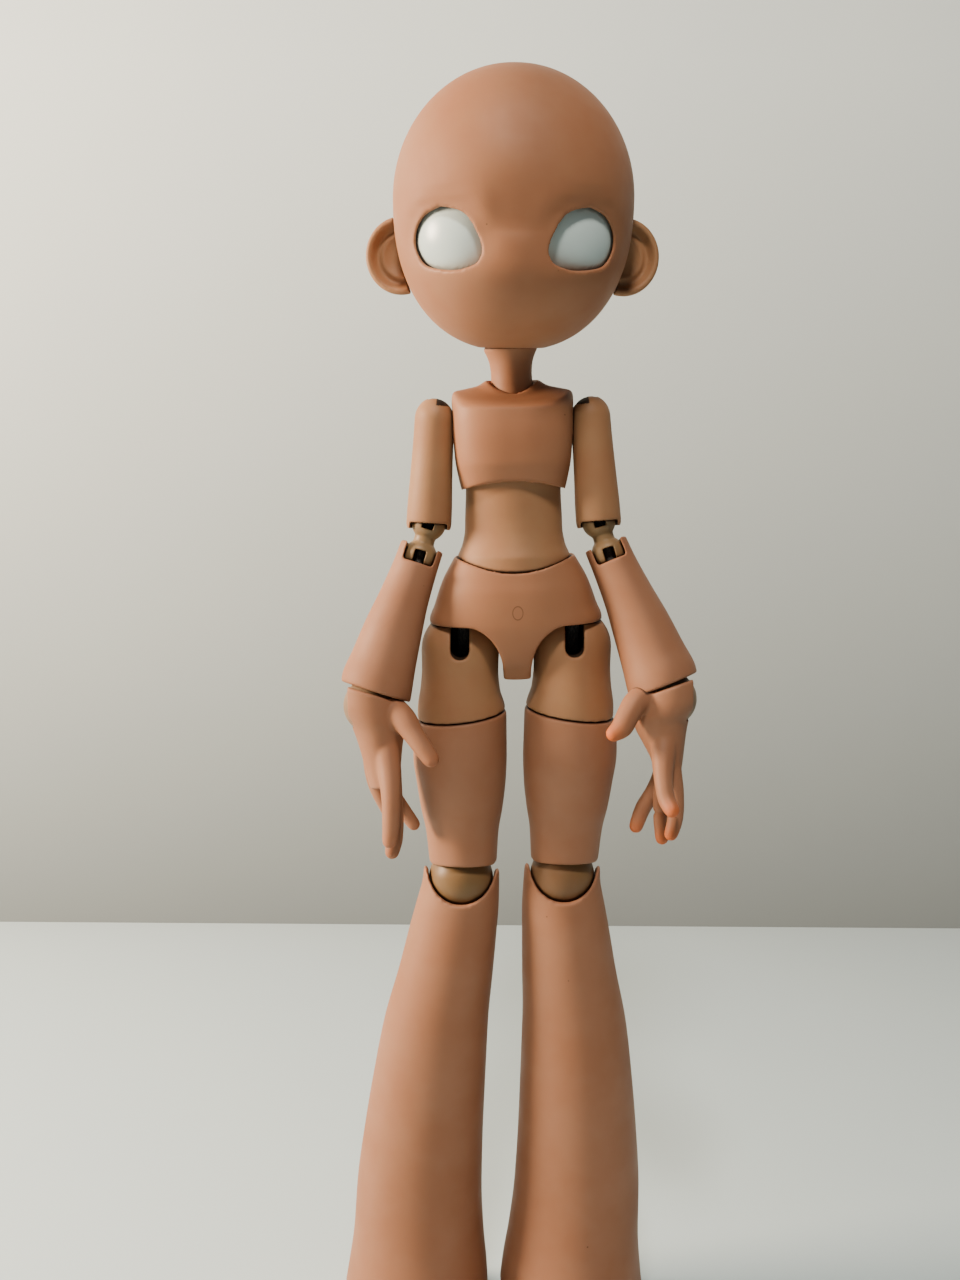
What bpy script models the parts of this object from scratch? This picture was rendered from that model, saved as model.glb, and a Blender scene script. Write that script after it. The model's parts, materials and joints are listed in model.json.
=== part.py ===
"""Ball jointed doll: cast resin pieces strung on elastic cord, each piece its own solid.

Lengths are in metres. The doll stands on its soles on z = 0, +Z up, and faces -Y.
Local frames of the limbs have x outwards, away from the doll's middle, and are mirrored by side.
"""
import math

import bmesh
import bpy
from mathutils import Matrix, Vector

MM = 0.001
LEFT = 1
RIGHT = -1
SIDES = {"left": LEFT, "right": RIGHT}

# Mesh fineness and clearances
SEGMENTS = 20
HEAD_SEGMENTS = 28
HEAD_STEP = 12.0
HEAD_POLE = 84.0
SEAT_SHARES = (1.0, 0.924, 0.707, 0.383, 0.0)
FINE_SEAT_SHARES = (1.0, 0.966, 0.866, 0.707, 0.5, 0.259, 0.0)
CUP_LIP_SHARE = 0.995
GAP = 0.3 * MM
OVERRUN = 2.0 * MM
CORD_RADIUS = 1.6 * MM
CORD_SEGMENTS = 10
BORE_SEGMENTS = 9
BORE_RADIUS = 2.5 * MM
WIRE_RADIUS = 0.7 * MM

# Where the doll stands: its middle plane is set so that the whole figure is centred on the origin
BODY_X = -1.2 * MM
BODY_Y = 8.2 * MM

# Rest pose, as the doll stands: degrees about +Y
PELVIS_LEAN = -1.8
WAIST_LEAN = 0.6
NECK_LEAN = -1.8
HEAD_LEAN = 3.0
KNEE_LEAN = 3.0
SHIN_LEAN = 1.8
ARM_LEAN = 3.8
LINK_LEAN = 13.0
FOREARM_LEANS = {LEFT: 17.4, RIGHT: 14.6}
# and degrees about +X, where a negative turn carries a hand forwards
ARM_SWING = -4.0
LINK_SWING = -4.0
FOREARM_SWING = -4.0

# Pelvis
PELVIS_HEIGHT = 33.0 * MM
PELVIS_WIDTH = 45.4 * MM
PELVIS_DEPTH = 27.0 * MM
PELVIS_BELOW_HIPS = 7.5 * MM
PELVIS_POWER = 2.4
LEG_ARCH_WIDTH = 20.6 * MM
LEG_ARCH_HEIGHT = 11.6 * MM
LEG_ARCH_TOP = 7.2 * MM
LEG_ARCH_INSET = 1.8 * MM
PELVIS_ROW_SHARES = (
    (1.000, 0.330, 0.40, 0.39),
    (0.900, 0.372, 0.43, 0.42),
    (0.800, 0.412, 0.46, 0.46),
    (0.700, 0.441, 0.49, 0.50),
    (0.580, 0.470, 0.50, 0.53),
    (0.470, 0.500, 0.50, 0.53),
    (0.360, 0.480, 0.48, 0.50),
    (0.150, 0.300, 0.40, 0.40),
    (0.000, 0.120, 0.27, 0.27),
)

# Waist
WAIST_JOINT_ABOVE_HIPS = 37.0 * MM
WAIST_SEAT_RADIUS = 19.5 * MM
WAIST_HEIGHT = 20.0 * MM
WAIST_WIDTH = 25.2 * MM
WAIST_DEPTH = 19.4 * MM
WAIST_ROW_SHARES = (
    (1.00, 0.488, 0.485, 0.485),
    (0.82, 0.490, 0.455, 0.455),
    (0.55, 0.500, 0.450, 0.450),
    (0.36, 0.505, 0.470, 0.470),
    (0.18, 0.530, 0.520, 0.520),
    (0.00, 0.588, 0.600, 0.610),
)
WAIST_DOME_HEIGHT = 9.4 * MM

# Chest
CHEST_JOINT_ABOVE_WAIST = 7.2 * MM
CHEST_HEIGHT = 25.2 * MM
CHEST_BELOW_JOINT = 2.6 * MM
CHEST_WIDTH = 31.2 * MM
CHEST_DEPTH = 25.0 * MM
CHEST_FRONT_ARCH = 3.0 * MM
CHEST_POWER = 2.7
CHEST_ROW_SHARES = (
    (0.00, 0.430, 0.430, 0.440),
    (0.12, 0.452, 0.455, 0.460),
    (0.30, 0.478, 0.490, 0.485),
    (0.53, 0.492, 0.500, 0.500),
    (0.76, 0.500, 0.470, 0.490),
    (0.91, 0.496, 0.410, 0.450),
    (0.98, 0.480, 0.360, 0.400),
    (1.00, 0.450, 0.320, 0.360),
)

# Neck
NECK_JOINT_ABOVE_CHEST = 21.3 * MM
NECK_BALL_RADIUS = 5.8 * MM
NECK_HEIGHT = 11.9 * MM
NECK_WIDTH = 10.8 * MM
NECK_BORE_RADIUS = 3.4 * MM
NECK_MOUTH_RADIUS = 4.4 * MM
NECK_ROW_SHARES = (
    (0.20, 0.495),
    (0.45, 0.485),
    (0.68, 0.510),
    (0.86, 0.575),
    (0.97, 0.640),
)
HEAD_JOINT_ABOVE_NECK = 6.1 * MM
HEAD_SEAT_RADIUS = 9.0 * MM

# Head
HEAD_WIDTH = 59.8 * MM
HEAD_DEPTH = 61.0 * MM
HEAD_ABOVE_EQUATOR = 31.8 * MM
HEAD_BELOW_EQUATOR = 36.4 * MM
HEAD_EQUATOR_ABOVE_JOINT = 41.4 * MM
HEAD_FORWARD = 2.0 * MM
HEAD_POWER = 2.1
HEAD_LOWER_POWER = 2.3
HEAD_WALL = 2.8 * MM
HEAD_FLOOR_ABOVE_JOINT = 12.6 * MM
HEAD_HOLE_RADIUS = 2.6 * MM
SPLIT_BEHIND_MIDDLE = 1.0 * MM
SHELF_ABOVE_JOINT = 18.0 * MM
MUZZLE_DEPTH = 1.8 * MM
MUZZLE_BELOW_EQUATOR = 19.0 * MM
MUZZLE_SPAN = 9.0 * MM

# Eyes
EYE_WIDTH = 19.2 * MM
EYE_HEIGHT = 14.4 * MM
EYE_ASIDE = 16.4 * MM
EYE_BELOW_EQUATOR = 12.0 * MM
EYE_TURN = 27.0
EYE_TILT = 6.0
EYE_DOME_RADIUS = 15.0 * MM
EYE_THICKNESS = 4.4 * MM
EYE_INSET = 0.5 * MM
EYE_OUTLINE_SHARES = (
    (0.12, 1.00),
    (-0.47, 0.80),
    (-0.79, 0.34),
    (-0.98, -0.31),
    (-0.90, -0.75),
    (-0.54, -0.94),
    (-0.19, -0.99),
    (0.26, -0.93),
    (0.68, -0.79),
    (0.91, -0.49),
    (1.00, -0.09),
    (0.90, 0.38),
    (0.61, 0.78),
)
OUTLINE_SEGMENTS = 22

# Ears
EAR_WIDTH = 18.4 * MM
EAR_HEIGHT = 19.2 * MM
EAR_THICKNESS = 5.4 * MM
EAR_ASIDE = 27.4 * MM
EAR_BELOW_EQUATOR = 13.0 * MM
EAR_BEHIND_SPLIT = 3.2 * MM
EAR_TURN = 8.0
EAR_ROW_SHARES = (
    (0.00, 0.30),
    (0.12, 0.62),
    (0.42, 0.90),
    (0.75, 1.00),
    (0.95, 0.97),
    (1.00, 0.88),
    (0.88, 0.76),
    (0.55, 0.62),
    (0.42, 0.30),
)

# The pair of magnets at the crown that holds the two halves of the head together
MAGNET_RADIUS = 2.5 * MM
MAGNET_THICKNESS = 1.8 * MM
MAGNET_BOSS_RADIUS = 4.0 * MM
MAGNET_BOSS_DEPTH = 5.0 * MM
MAGNET_ABOVE_EQUATOR = 26.6 * MM

# Arms
SHOULDER_ASIDE = 20.2 * MM
SHOULDER_ABOVE_CHEST_JOINT = 15.5 * MM
SHOULDER_RADIUS = 5.6 * MM
UPPER_ARM_LENGTH = 26.8 * MM
UPPER_ARM_WIDTH = 11.7 * MM
UPPER_ARM_DEPTH = 11.7 * MM
SHOULDER_SLOT_WIDTH = 3.4 * MM
UPPER_ARM_ROW_SHARES = (
    (0.00, 0.478, 0.478, 0.478, 0.478),
    (0.10, 0.390, 0.462, 0.470, 0.465),
    (0.20, 0.385, 0.470, 0.475, 0.470),
    (0.55, 0.450, 0.500, 0.500, 0.490),
    (0.85, 0.490, 0.515, 0.500, 0.490),
    (1.05, 0.490, 0.500, 0.460, 0.440),
)
ELBOW_RADIUS = 4.4 * MM
ELBOW_SPACING = 8.6 * MM
ELBOW_SLOT_WIDTH = 3.0 * MM
ELBOW_NOTCH_WIDTH = 9.6 * MM
FOREARM_NOTCH_SHARES = (0.9, 0.495)
FOREARM_LENGTH = 37.0 * MM
FOREARM_WIDTH = 19.0 * MM
FOREARM_DEPTH = 18.4 * MM
FOREARM_ROW_SHARES = (
    (-0.07, 0.290, 0.305, 0.290, 0.280),
    (0.06, 0.292, 0.318, 0.310, 0.300),
    (0.30, 0.308, 0.370, 0.360, 0.345),
    (0.55, 0.358, 0.442, 0.410, 0.400),
    (0.78, 0.413, 0.487, 0.460, 0.450),
    (0.93, 0.458, 0.522, 0.495, 0.490),
    (1.00, 0.478, 0.507, 0.490, 0.490),
)
WRIST_RADIUS = 8.3 * MM
WRIST_BEYOND_CUFF = 3.6 * MM
WRIST_OUTWARD = 0.3 * MM

# Hands: rows give height, inner, outer, front and back; bones give out, forward, down and thickness
PALM_HEIGHT = 24.0 * MM
PALM_WIDTH = 19.0 * MM
PALM_DEPTH = 18.6 * MM
PALM_BELOW_WRIST = 21.4 * MM
PALM_ROW_SHARES = (
    (1.00, 0.480, 0.480, 0.500, 0.500),
    (0.83, 0.480, 0.460, 0.500, 0.490),
    (0.62, 0.440, 0.400, 0.460, 0.470),
    (0.42, 0.330, 0.330, 0.420, 0.450),
    (0.20, 0.230, 0.290, 0.390, 0.440),
    (0.00, 0.130, 0.200, 0.330, 0.380),
)
PALM_RIM_SLOPE = 0.32
HAND_SLIT_OUTWARD = 7.0 * MM
HAND_SLIT_BELOW = 4.5 * MM
HAND_LENGTH = 46.0 * MM
FINGER_SEGMENTS = 8
FINGERTIP_SHARES = (0.7, 0.5)
FINGER_SHARES = {
    "index": (
        (-0.02, 0.1, 0.34, 0.074),
        (-0.04, 0.13, 0.55, 0.07),
        (-0.07, 0.16, 0.72, 0.066),
        (-0.07, 0.18, 0.86, 0.054),
    ),
    "middle": (
        (-0.01, 0.02, 0.34, 0.074),
        (-0.02, 0.03, 0.58, 0.068),
        (-0.05, 0.05, 0.77, 0.062),
        (-0.07, 0.07, 0.93, 0.05),
    ),
    "ring": (
        (-0.02, -0.06, 0.36, 0.07),
        (-0.06, -0.09, 0.56, 0.064),
        (-0.14, -0.11, 0.7, 0.058),
        (-0.2, -0.1, 0.78, 0.048),
    ),
    "small": (
        (-0.03, -0.15, 0.33, 0.066),
        (-0.07, -0.19, 0.5, 0.058),
        (-0.13, -0.21, 0.61, 0.052),
        (-0.18, -0.2, 0.67, 0.044),
    ),
    "thumb": (
        (-0.12, 0.1, 0.15, 0.084),
        (-0.21, 0.14, 0.26, 0.07),
        (-0.28, 0.17, 0.37, 0.062),
        (-0.31, 0.19, 0.43, 0.052),
    ),
}

# Legs
HIP_ASIDE = 14.8 * MM
HIP_RADIUS = 10.3 * MM
HIP_LENGTH = 17.6 * MM
HIP_WIDTH = 23.4 * MM
HIP_DEPTH = 25.0 * MM
HIP_SLOT_WIDTH = 5.2 * MM
HIP_SLOT_BELOW = 1.5 * MM
CUT_SLOPE = 0.125
HIP_ROW_SHARES = (
    (0.00, 0.440, 0.440, 0.412, 0.412),
    (0.30, 0.433, 0.436, 0.425, 0.430),
    (0.60, 0.452, 0.452, 0.460, 0.460),
    (0.85, 0.500, 0.482, 0.490, 0.490),
    (1.00, 0.520, 0.484, 0.500, 0.500),
)
SPIGOT_RADIUS = 6.6 * MM
SPIGOT_HEIGHT = 2.0 * MM
THIGH_LENGTH = 35.9 * MM
THIGH_WIDTH = 25.4 * MM
THIGH_DEPTH = 26.0 * MM
THIGH_ROW_SHARES = (
    (0.000, 0.478, 0.447, 0.480, 0.480),
    (0.030, 0.488, 0.462, 0.490, 0.490),
    (0.160, 0.493, 0.487, 0.500, 0.505),
    (0.330, 0.498, 0.492, 0.490, 0.510),
    (0.520, 0.488, 0.457, 0.455, 0.475),
    (0.720, 0.458, 0.412, 0.410, 0.420),
    (0.900, 0.418, 0.357, 0.375, 0.375),
    (1.147, 0.400, 0.319, 0.355, 0.350),
)
KNEE_INWARD = 1.0 * MM
KNEE_UPPER_RADIUS = 8.2 * MM
KNEE_LOWER_RADIUS = 8.75 * MM
KNEE_SPACING = 10.0 * MM
KNEE_LIP_SHARE = 0.98
KNEE_SADDLE_SHARE = 0.55
LINK_NECK_SHARE = 0.62
LINK_BELT_ANGLES = (15.0, 30.0)
SHIN_LENGTH = 93.0 * MM
SHIN_WIDTH = 41.4 * MM
SHIN_DEPTH = 38.0 * MM
ANKLE_OUTWARD = 8.2 * MM
SHIN_ROW_SHARES = (
    (-0.024, 0.250, 0.247, 0.236, 0.236),
    (0.000, 0.253, 0.250, 0.242, 0.242),
    (0.060, 0.257, 0.288, 0.262, 0.275),
    (0.125, 0.250, 0.332, 0.285, 0.310),
    (0.220, 0.237, 0.392, 0.312, 0.345),
    (0.340, 0.219, 0.478, 0.340, 0.375),
    (0.460, 0.216, 0.535, 0.368, 0.395),
    (0.600, 0.214, 0.590, 0.398, 0.410),
    (0.740, 0.221, 0.632, 0.428, 0.430),
    (0.860, 0.248, 0.646, 0.478, 0.460),
    (0.940, 0.279, 0.671, 0.545, 0.485),
    (0.995, 0.293, 0.692, 0.600, 0.500),
)
ANKLE_SEAT_RADIUS = 35.0 * MM
SHIN_HEM_SHARE = 0.4734
SHIN_DROP = SHIN_LENGTH + math.sqrt(ANKLE_SEAT_RADIUS ** 2 - (SHIN_HEM_SHARE * SHIN_WIDTH) ** 2)
SOLE_THICKNESS = 7.5 * MM
ANKLE_HEIGHT = ANKLE_SEAT_RADIUS + SOLE_THICKNESS
FOOT_LENGTH = 64.0 * MM
FOOT_WIDTH = 40.6 * MM
FOOT_ROW_SHARES = (
    (0.00, 0.440, 0.440, 0.600, 0.270),
    (0.10, 0.485, 0.485, 0.665, 0.300),
    (0.26, 0.500, 0.500, 0.690, 0.310),
    (0.48, 0.498, 0.498, 0.650, 0.312),
    (0.66, 0.492, 0.492, 0.560, 0.308),
    (0.80, 0.486, 0.486, 0.440, 0.302),
)
FOOT_POWER = 2.3
FOOT_RIM_HEIGHT = 15.0 * MM
WELL_RADIUS = 3.4 * MM
WELL_DEPTH = 5.4 * MM

# Outlines, back and up, of the hollows that free the knee: shares of half the thigh and of the lower ball
KNEE_SCOOP_SHARES = (
    (-1.00, -0.30), (-0.70, -0.31), (-0.30, -0.39), (0.05, -0.38), (0.28, -0.20), (0.46, 0.10),
    (0.60, 0.25), (0.80, 0.40), (1.00, 0.56), (2.00, 1.20),
)
KNEE_HOLLOW_SHARES = (
    (0.10, 1.00), (0.10, 0.30), (0.55, -0.25), (1.00, -0.80), (1.60, -1.25), (2.40, -1.50), (2.40, 1.00),
)

# The cord runs through the trunk as two strands that lie against each other
TRUNK_BORE_RADIUS = 3.6 * MM
STRAND_ASIDE = 1.25 * MM
CORD_BEND_SHARE = 0.1
CORD_ROUTE_SHARES = (0.3, 0.7, 0.92)
ARM_BORE_RADIUS = 1.9 * MM
ARM_CORD_RADIUS = 1.1 * MM
ARM_CORD_CLEARANCE = 1.3 * MM
ARM_CORD_ROUTE_SHARES = ((-1.0, 0.0), (-0.58, 0.25), (-0.35, 1.0), (0.35, 1.0), (0.58, 0.25), (1.0, 0.0))

# Finishes: colour, roughness, metallic
FINISHES = {
    "resin_face": ((0.62, 0.33, 0.20), 0.45, 0.0),
    "resin_limb": ((0.56, 0.30, 0.18), 0.45, 0.0),
    "resin_light": ((0.60, 0.38, 0.24), 0.5, 0.0),
    "resin_link": ((0.52, 0.36, 0.24), 0.5, 0.0),
    "eye_white": ((0.85, 0.88, 0.87), 0.35, 0.0),
    "cord_black": ((0.02, 0.02, 0.02), 0.8, 0.0),
    "steel_wire": ((0.62, 0.62, 0.63), 0.3, 1.0),
    "magnet_plate": ((0.70, 0.70, 0.72), 0.25, 1.0),
}


def clear_scene():
    """Removes every object of the open scene."""
    for obj in list(bpy.data.objects):
        bpy.data.objects.remove(obj, do_unlink=True)


def finish_material(name):
    """Returns the Principled material of a named finish, made once."""
    found = bpy.data.materials.get(name)
    if found:
        return found
    colour, roughness, metallic = FINISHES[name]
    material = bpy.data.materials.new(name)
    material.use_nodes = True
    shader = material.node_tree.nodes["Principled BSDF"]
    shader.inputs["Base Color"].default_value = (*colour, 1.0)
    shader.inputs["Roughness"].default_value = roughness
    shader.inputs["Metallic"].default_value = metallic
    return material


def add_object(name, bm, parent, place=(0.0, 0.0, 0.0), lean=0.0, finish=None, swing=0.0):
    """Makes an object of a bmesh, hung on its parent and turned about +Y by lean and about +X by swing."""
    bmesh.ops.recalc_face_normals(bm, faces=bm.faces[:])
    mesh = bpy.data.meshes.new(name)
    bm.to_mesh(mesh)
    bm.free()
    obj = bpy.data.objects.new(name, mesh)
    bpy.context.scene.collection.objects.link(obj)
    if finish:
        mesh.materials.append(finish_material(finish))
        mesh.shade_smooth()
        mesh.set_sharp_from_angle(angle=math.radians(35.0))
    obj.parent = parent
    obj.location = place
    obj.rotation_euler = (math.radians(swing), math.radians(lean), 0.0)
    return obj


def add_empty(name, parent, place, lean=0.0):
    """Makes an empty that marks a joint centre."""
    empty = bpy.data.objects.new(name, None)
    bpy.context.scene.collection.objects.link(empty)
    empty.parent = parent
    empty.location = place
    empty.rotation_euler.y = math.radians(lean)
    return empty


def super_power(value, power):
    """Returns the signed power that squares a circle's coordinate into a superellipse's."""
    return math.copysign(abs(value) ** (2.0 / power), value)


def ring(side, height, inner, outer, front, back, slope=0.0, power=2.0, count=SEGMENTS):
    """Returns the points of one cross-section; its four sizes are measured from the axis."""
    middle_x = (outer - inner) / 2
    middle_y = (back - front) / 2
    half_x = (outer + inner) / 2
    half_y = (back + front) / 2
    points = []
    for index in range(count):
        angle = 2.0 * math.pi * index / count
        x = middle_x + half_x * super_power(math.cos(angle), power)
        y = middle_y + half_y * super_power(math.sin(angle), power)
        points.append(Vector((side * x, y, height + slope * x)))
    return points


def circle(height, radius, side=LEFT, middle=(0.0, 0.0), count=SEGMENTS):
    """Returns the points of a round cross-section about a middle."""
    points = []
    for index in range(count):
        angle = 2.0 * math.pi * index / count
        x = middle[0] + radius * math.cos(angle)
        y = middle[1] + radius * math.sin(angle)
        points.append(Vector((side * x, y, height)))
    return points


def seat(outline, centre, radii, up, hole, side=LEFT, shares=SEAT_SHARES):
    """Returns rings that run in from an outline over an ellipsoid to a round hole."""
    inner = circle(0.0, hole, side, (side * centre[0], centre[1]), len(outline))
    rings = []
    for share in shares:
        points = []
        for edge, core in zip(outline, inner):
            x = core.x + (edge.x - core.x) * share
            y = core.y + (edge.y - core.y) * share
            fall = ((x - centre[0]) / radii[0]) ** 2 + ((y - centre[1]) / radii[1]) ** 2
            points.append(Vector((x, y, centre[2] + up * radii[2] * math.sqrt(max(0.0, 1.0 - fall)))))
        rings.append(points)
    return rings


def loft(rings, closed=False):
    """Skins rings in order; closed joins the last ring to the first, else both are capped."""
    bm = bmesh.new()
    loops = [[bm.verts.new(point) for point in points] for points in rings]
    pairs = list(zip(loops, loops[1:]))
    if closed:
        pairs.append((loops[-1], loops[0]))
    else:
        bm.faces.new(loops[0])
        bm.faces.new(loops[-1])
    for first, second in pairs:
        for index in range(len(first)):
            after = (index + 1) % len(first)
            bm.faces.new((first[index], first[after], second[after], second[index]))
    bmesh.ops.recalc_face_normals(bm, faces=bm.faces[:])
    return bm


def rod(start, end, radius, segments=CORD_SEGMENTS):
    """Returns a bmesh cylinder from start to end."""
    start = Vector(start)
    axis = Vector(end) - start
    bm = bmesh.new()
    turn = axis.to_track_quat("Z", "Y").to_matrix().to_4x4()
    place = Matrix.Translation(start + axis / 2) @ turn
    bmesh.ops.create_cone(
        bm, cap_ends=True, segments=segments, radius1=radius, radius2=radius, depth=axis.length, matrix=place
    )
    return bm


def tube(points, radii, segments=CORD_SEGMENTS):
    """Returns a round skin along points, with a radius at each."""
    rings = []
    for index, (point, radius) in enumerate(zip(points, radii)):
        before = points[max(0, index - 1)]
        after = points[min(len(points) - 1, index + 1)]
        turn = (after - before).to_track_quat("Z", "Y")
        rings.append([point + turn @ p for p in circle(0.0, radius, LEFT, (0.0, 0.0), segments)])
    return loft(rings)


def ball(radius, centre=(0.0, 0.0, 0.0), segments=SEGMENTS):
    """Returns a bmesh sphere."""
    bm = bmesh.new()
    place = Matrix.Translation(Vector(centre))
    bmesh.ops.create_uvsphere(bm, u_segments=segments, v_segments=segments // 2, radius=radius, matrix=place)
    return bm


def block(low, high):
    """Returns a bmesh box between two opposite corners."""
    low = Vector(low)
    high = Vector(high)
    size = [abs(first - second) for first, second in zip(low, high)]
    place = Matrix.Translation((low + high) / 2) @ Matrix.Diagonal((*size, 1.0))
    bm = bmesh.new()
    bmesh.ops.create_cube(bm, size=1.0, matrix=place)
    return bm


def prism(outline, half_length, along):
    """Returns a prism: an outline of (across, up) points, drawn out both ways along X or Y."""
    bm = bmesh.new()
    if along == "X":
        points = [Vector((-half_length, across, up)) for across, up in outline]
        travel = Vector((2 * half_length, 0.0, 0.0))
    else:
        points = [Vector((across, -half_length, up)) for across, up in outline]
        travel = Vector((0.0, 2 * half_length, 0.0))
    face = bm.faces.new([bm.verts.new(point) for point in points])
    drawn = bmesh.ops.extrude_face_region(bm, geom=[face])
    moved = [item for item in drawn["geom"] if isinstance(item, bmesh.types.BMVert)]
    bmesh.ops.translate(bm, vec=travel, verts=moved)
    return bm


def combine(obj, bm, operation, label):
    """Gives an object a Boolean with a guide that rides in the same frame."""
    guide = add_object(f"{label}_guide_{obj.name}", bm, obj)
    guide.hide_render = True
    guide.display_type = "WIRE"
    modifier = obj.modifiers.new(label, "BOOLEAN")
    modifier.operation = operation
    modifier.solver = "EXACT"
    modifier.object = guide


def cut(obj, bm, label):
    """Takes a guide's shape out of an object."""
    combine(obj, bm, "DIFFERENCE", label)


def fuse(obj, bm, label):
    """Adds a guide's shape to an object."""
    combine(obj, bm, "UNION", label)


def wire(name, points, radius, parent, finish):
    """Makes a round wire or cord along points."""
    curve = bpy.data.curves.new(name, "CURVE")
    curve.dimensions = "3D"
    curve.bevel_depth = radius
    curve.bevel_resolution = 1
    curve.use_fill_caps = True
    spline = curve.splines.new("POLY")
    spline.points.add(len(points) - 1)
    for point, target in zip(points, spline.points):
        target.co = (*point, 1.0)
    curve.materials.append(finish_material(finish))
    obj = bpy.data.objects.new(name, curve)
    bpy.context.scene.collection.objects.link(obj)
    obj.parent = parent
    return obj


def arc(middle, radius, start, stop, steps):
    """Returns points of a circular arc, in degrees, in the upright plane through its middle."""
    points = []
    for index in range(steps + 1):
        angle = math.radians(start + (stop - start) * index / steps)
        across = radius * math.cos(angle)
        up = radius * math.sin(angle)
        points.append(Vector(middle) + Vector((across, 0.0, up)))
    return points


def smooth_outline(shares, half_width, half_height, count):
    """Returns count points of a closed smooth curve through an outline given in shares."""
    points = []
    total = len(shares)
    for index in range(count):
        place = index * total / count
        first = int(place)
        t = place - first
        p0, p1, p2, p3 = (shares[(first + k - 1) % total] for k in range(4))
        pair = []
        for axis in range(2):
            pull = 2 * p1[axis] + (p2[axis] - p0[axis]) * t
            bend = (2 * p0[axis] - 5 * p1[axis] + 4 * p2[axis] - p3[axis]) * t * t
            close = (3 * p1[axis] - p0[axis] - 3 * p2[axis] + p3[axis]) * t * t * t
            pair.append((pull + bend + close) / 2)
        points.append((pair[0] * half_width, pair[1] * half_height))
    return points


def hip_height():
    """Returns the height of the hip centres above the floor, from the leg's own lengths."""
    shin = SHIN_LENGTH * math.cos(math.radians(SHIN_LEAN))
    knee = KNEE_SPACING * math.cos(math.radians(KNEE_LEAN))
    return ANKLE_HEIGHT + shin + knee + THIGH_LENGTH + HIP_LENGTH


def rows(shares, drop, width, depth, side, slope_at=None):
    """Turns rows of shares into rings down a limb; slope_at maps a row's number to its slope."""
    slopes = slope_at or {}
    rings = []
    for index, (down, inner, outer, front, back) in enumerate(shares):
        slope = slopes.get(index, 0.0)
        spans = (inner * width, outer * width, front * depth, back * depth)
        rings.append(ring(side, -down * drop, *spans, slope))
    return rings


def build_pelvis():
    """Makes the pelvis: waist cup on top, an arch and a hip cup for each leg, and the cord bores."""
    rings = []
    for up, half, front, back in PELVIS_ROW_SHARES:
        height = up * PELVIS_HEIGHT - PELVIS_BELOW_HIPS
        half_width = half * PELVIS_WIDTH
        spans = (half_width, half_width, front * PELVIS_DEPTH, back * PELVIS_DEPTH)
        rings.append(ring(LEFT, height, *spans, 0.0, PELVIS_POWER))
    place = (BODY_X, BODY_Y, hip_height())
    pelvis = add_object("pelvis", loft(rings), None, place, PELVIS_LEAN, "resin_face")
    cup = ball(WAIST_SEAT_RADIUS + GAP, (0.0, 0.0, WAIST_JOINT_ABOVE_HIPS), HEAD_SEGMENTS)
    cut(pelvis, cup, "waist_cup")
    for label, side in SIDES.items():
        half = LEG_ARCH_WIDTH / 2
        middle = side * (HIP_ASIDE - LEG_ARCH_INSET)
        base = LEG_ARCH_TOP - LEG_ARCH_HEIGHT
        arch = []
        for index in range(SEGMENTS // 2 + 1):
            angle = math.pi / 2 + math.pi * index / SEGMENTS
            arch.append((middle + side * half * math.cos(angle), base + LEG_ARCH_HEIGHT * math.sin(angle)))
        below = -PELVIS_BELOW_HIPS - OVERRUN
        arch.append((arch[-1][0], below))
        arch.append((side * PELVIS_WIDTH, below))
        arch.append((side * PELVIS_WIDTH, LEG_ARCH_TOP))
        cut(pelvis, prism(arch, PELVIS_DEPTH, "Y"), f"arch_{label}")
        centre = (side * HIP_ASIDE, 0.0, 0.0)
        cut(pelvis, ball(HIP_RADIUS + GAP, centre), f"hip_cup_{label}")
        route = leg_cord_route(side, -OVERRUN, OVERRUN)
        cut(pelvis, tube(route, [BORE_RADIUS] * len(route)), f"bore_{label}")
    return pelvis


def leg_cord_route(side, start_gap, end_overrun):
    """Returns the way of one leg strand through the pelvis, from the hip ball to the waist cup."""
    start = HIP_RADIUS + GAP + start_gap
    end = WAIST_JOINT_ABOVE_HIPS - WAIST_SEAT_RADIUS - GAP + end_overrun
    level = (start + end) / 2 - start_gap / 2 - end_overrun / 2
    across = HIP_ASIDE - STRAND_ASIDE
    bend = HIP_ASIDE - across * CORD_BEND_SHARE
    points = [Vector((HIP_ASIDE, 0.0, start)), Vector((bend, 0.0, level - GAP))]
    points += [Vector((HIP_ASIDE - across * share, 0.0, level)) for share in CORD_ROUTE_SHARES]
    points.append(Vector((STRAND_ASIDE, 0.0, end)))
    return [Vector((side * point.x, point.y, point.z)) for point in points]


def build_pelvis_cord(pelvis):
    """Makes the leg cord inside the pelvis: a strand from each hip, side by side at the top."""
    routes = [leg_cord_route(side, GAP, -GAP) for side in SIDES.values()]
    strands = [tube(route, [CORD_RADIUS] * len(route)) for route in routes]
    cord = add_object("cord_pelvis", strands[0], pelvis, finish="cord_black")
    fuse(cord, strands[1], "second_strand")


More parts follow.
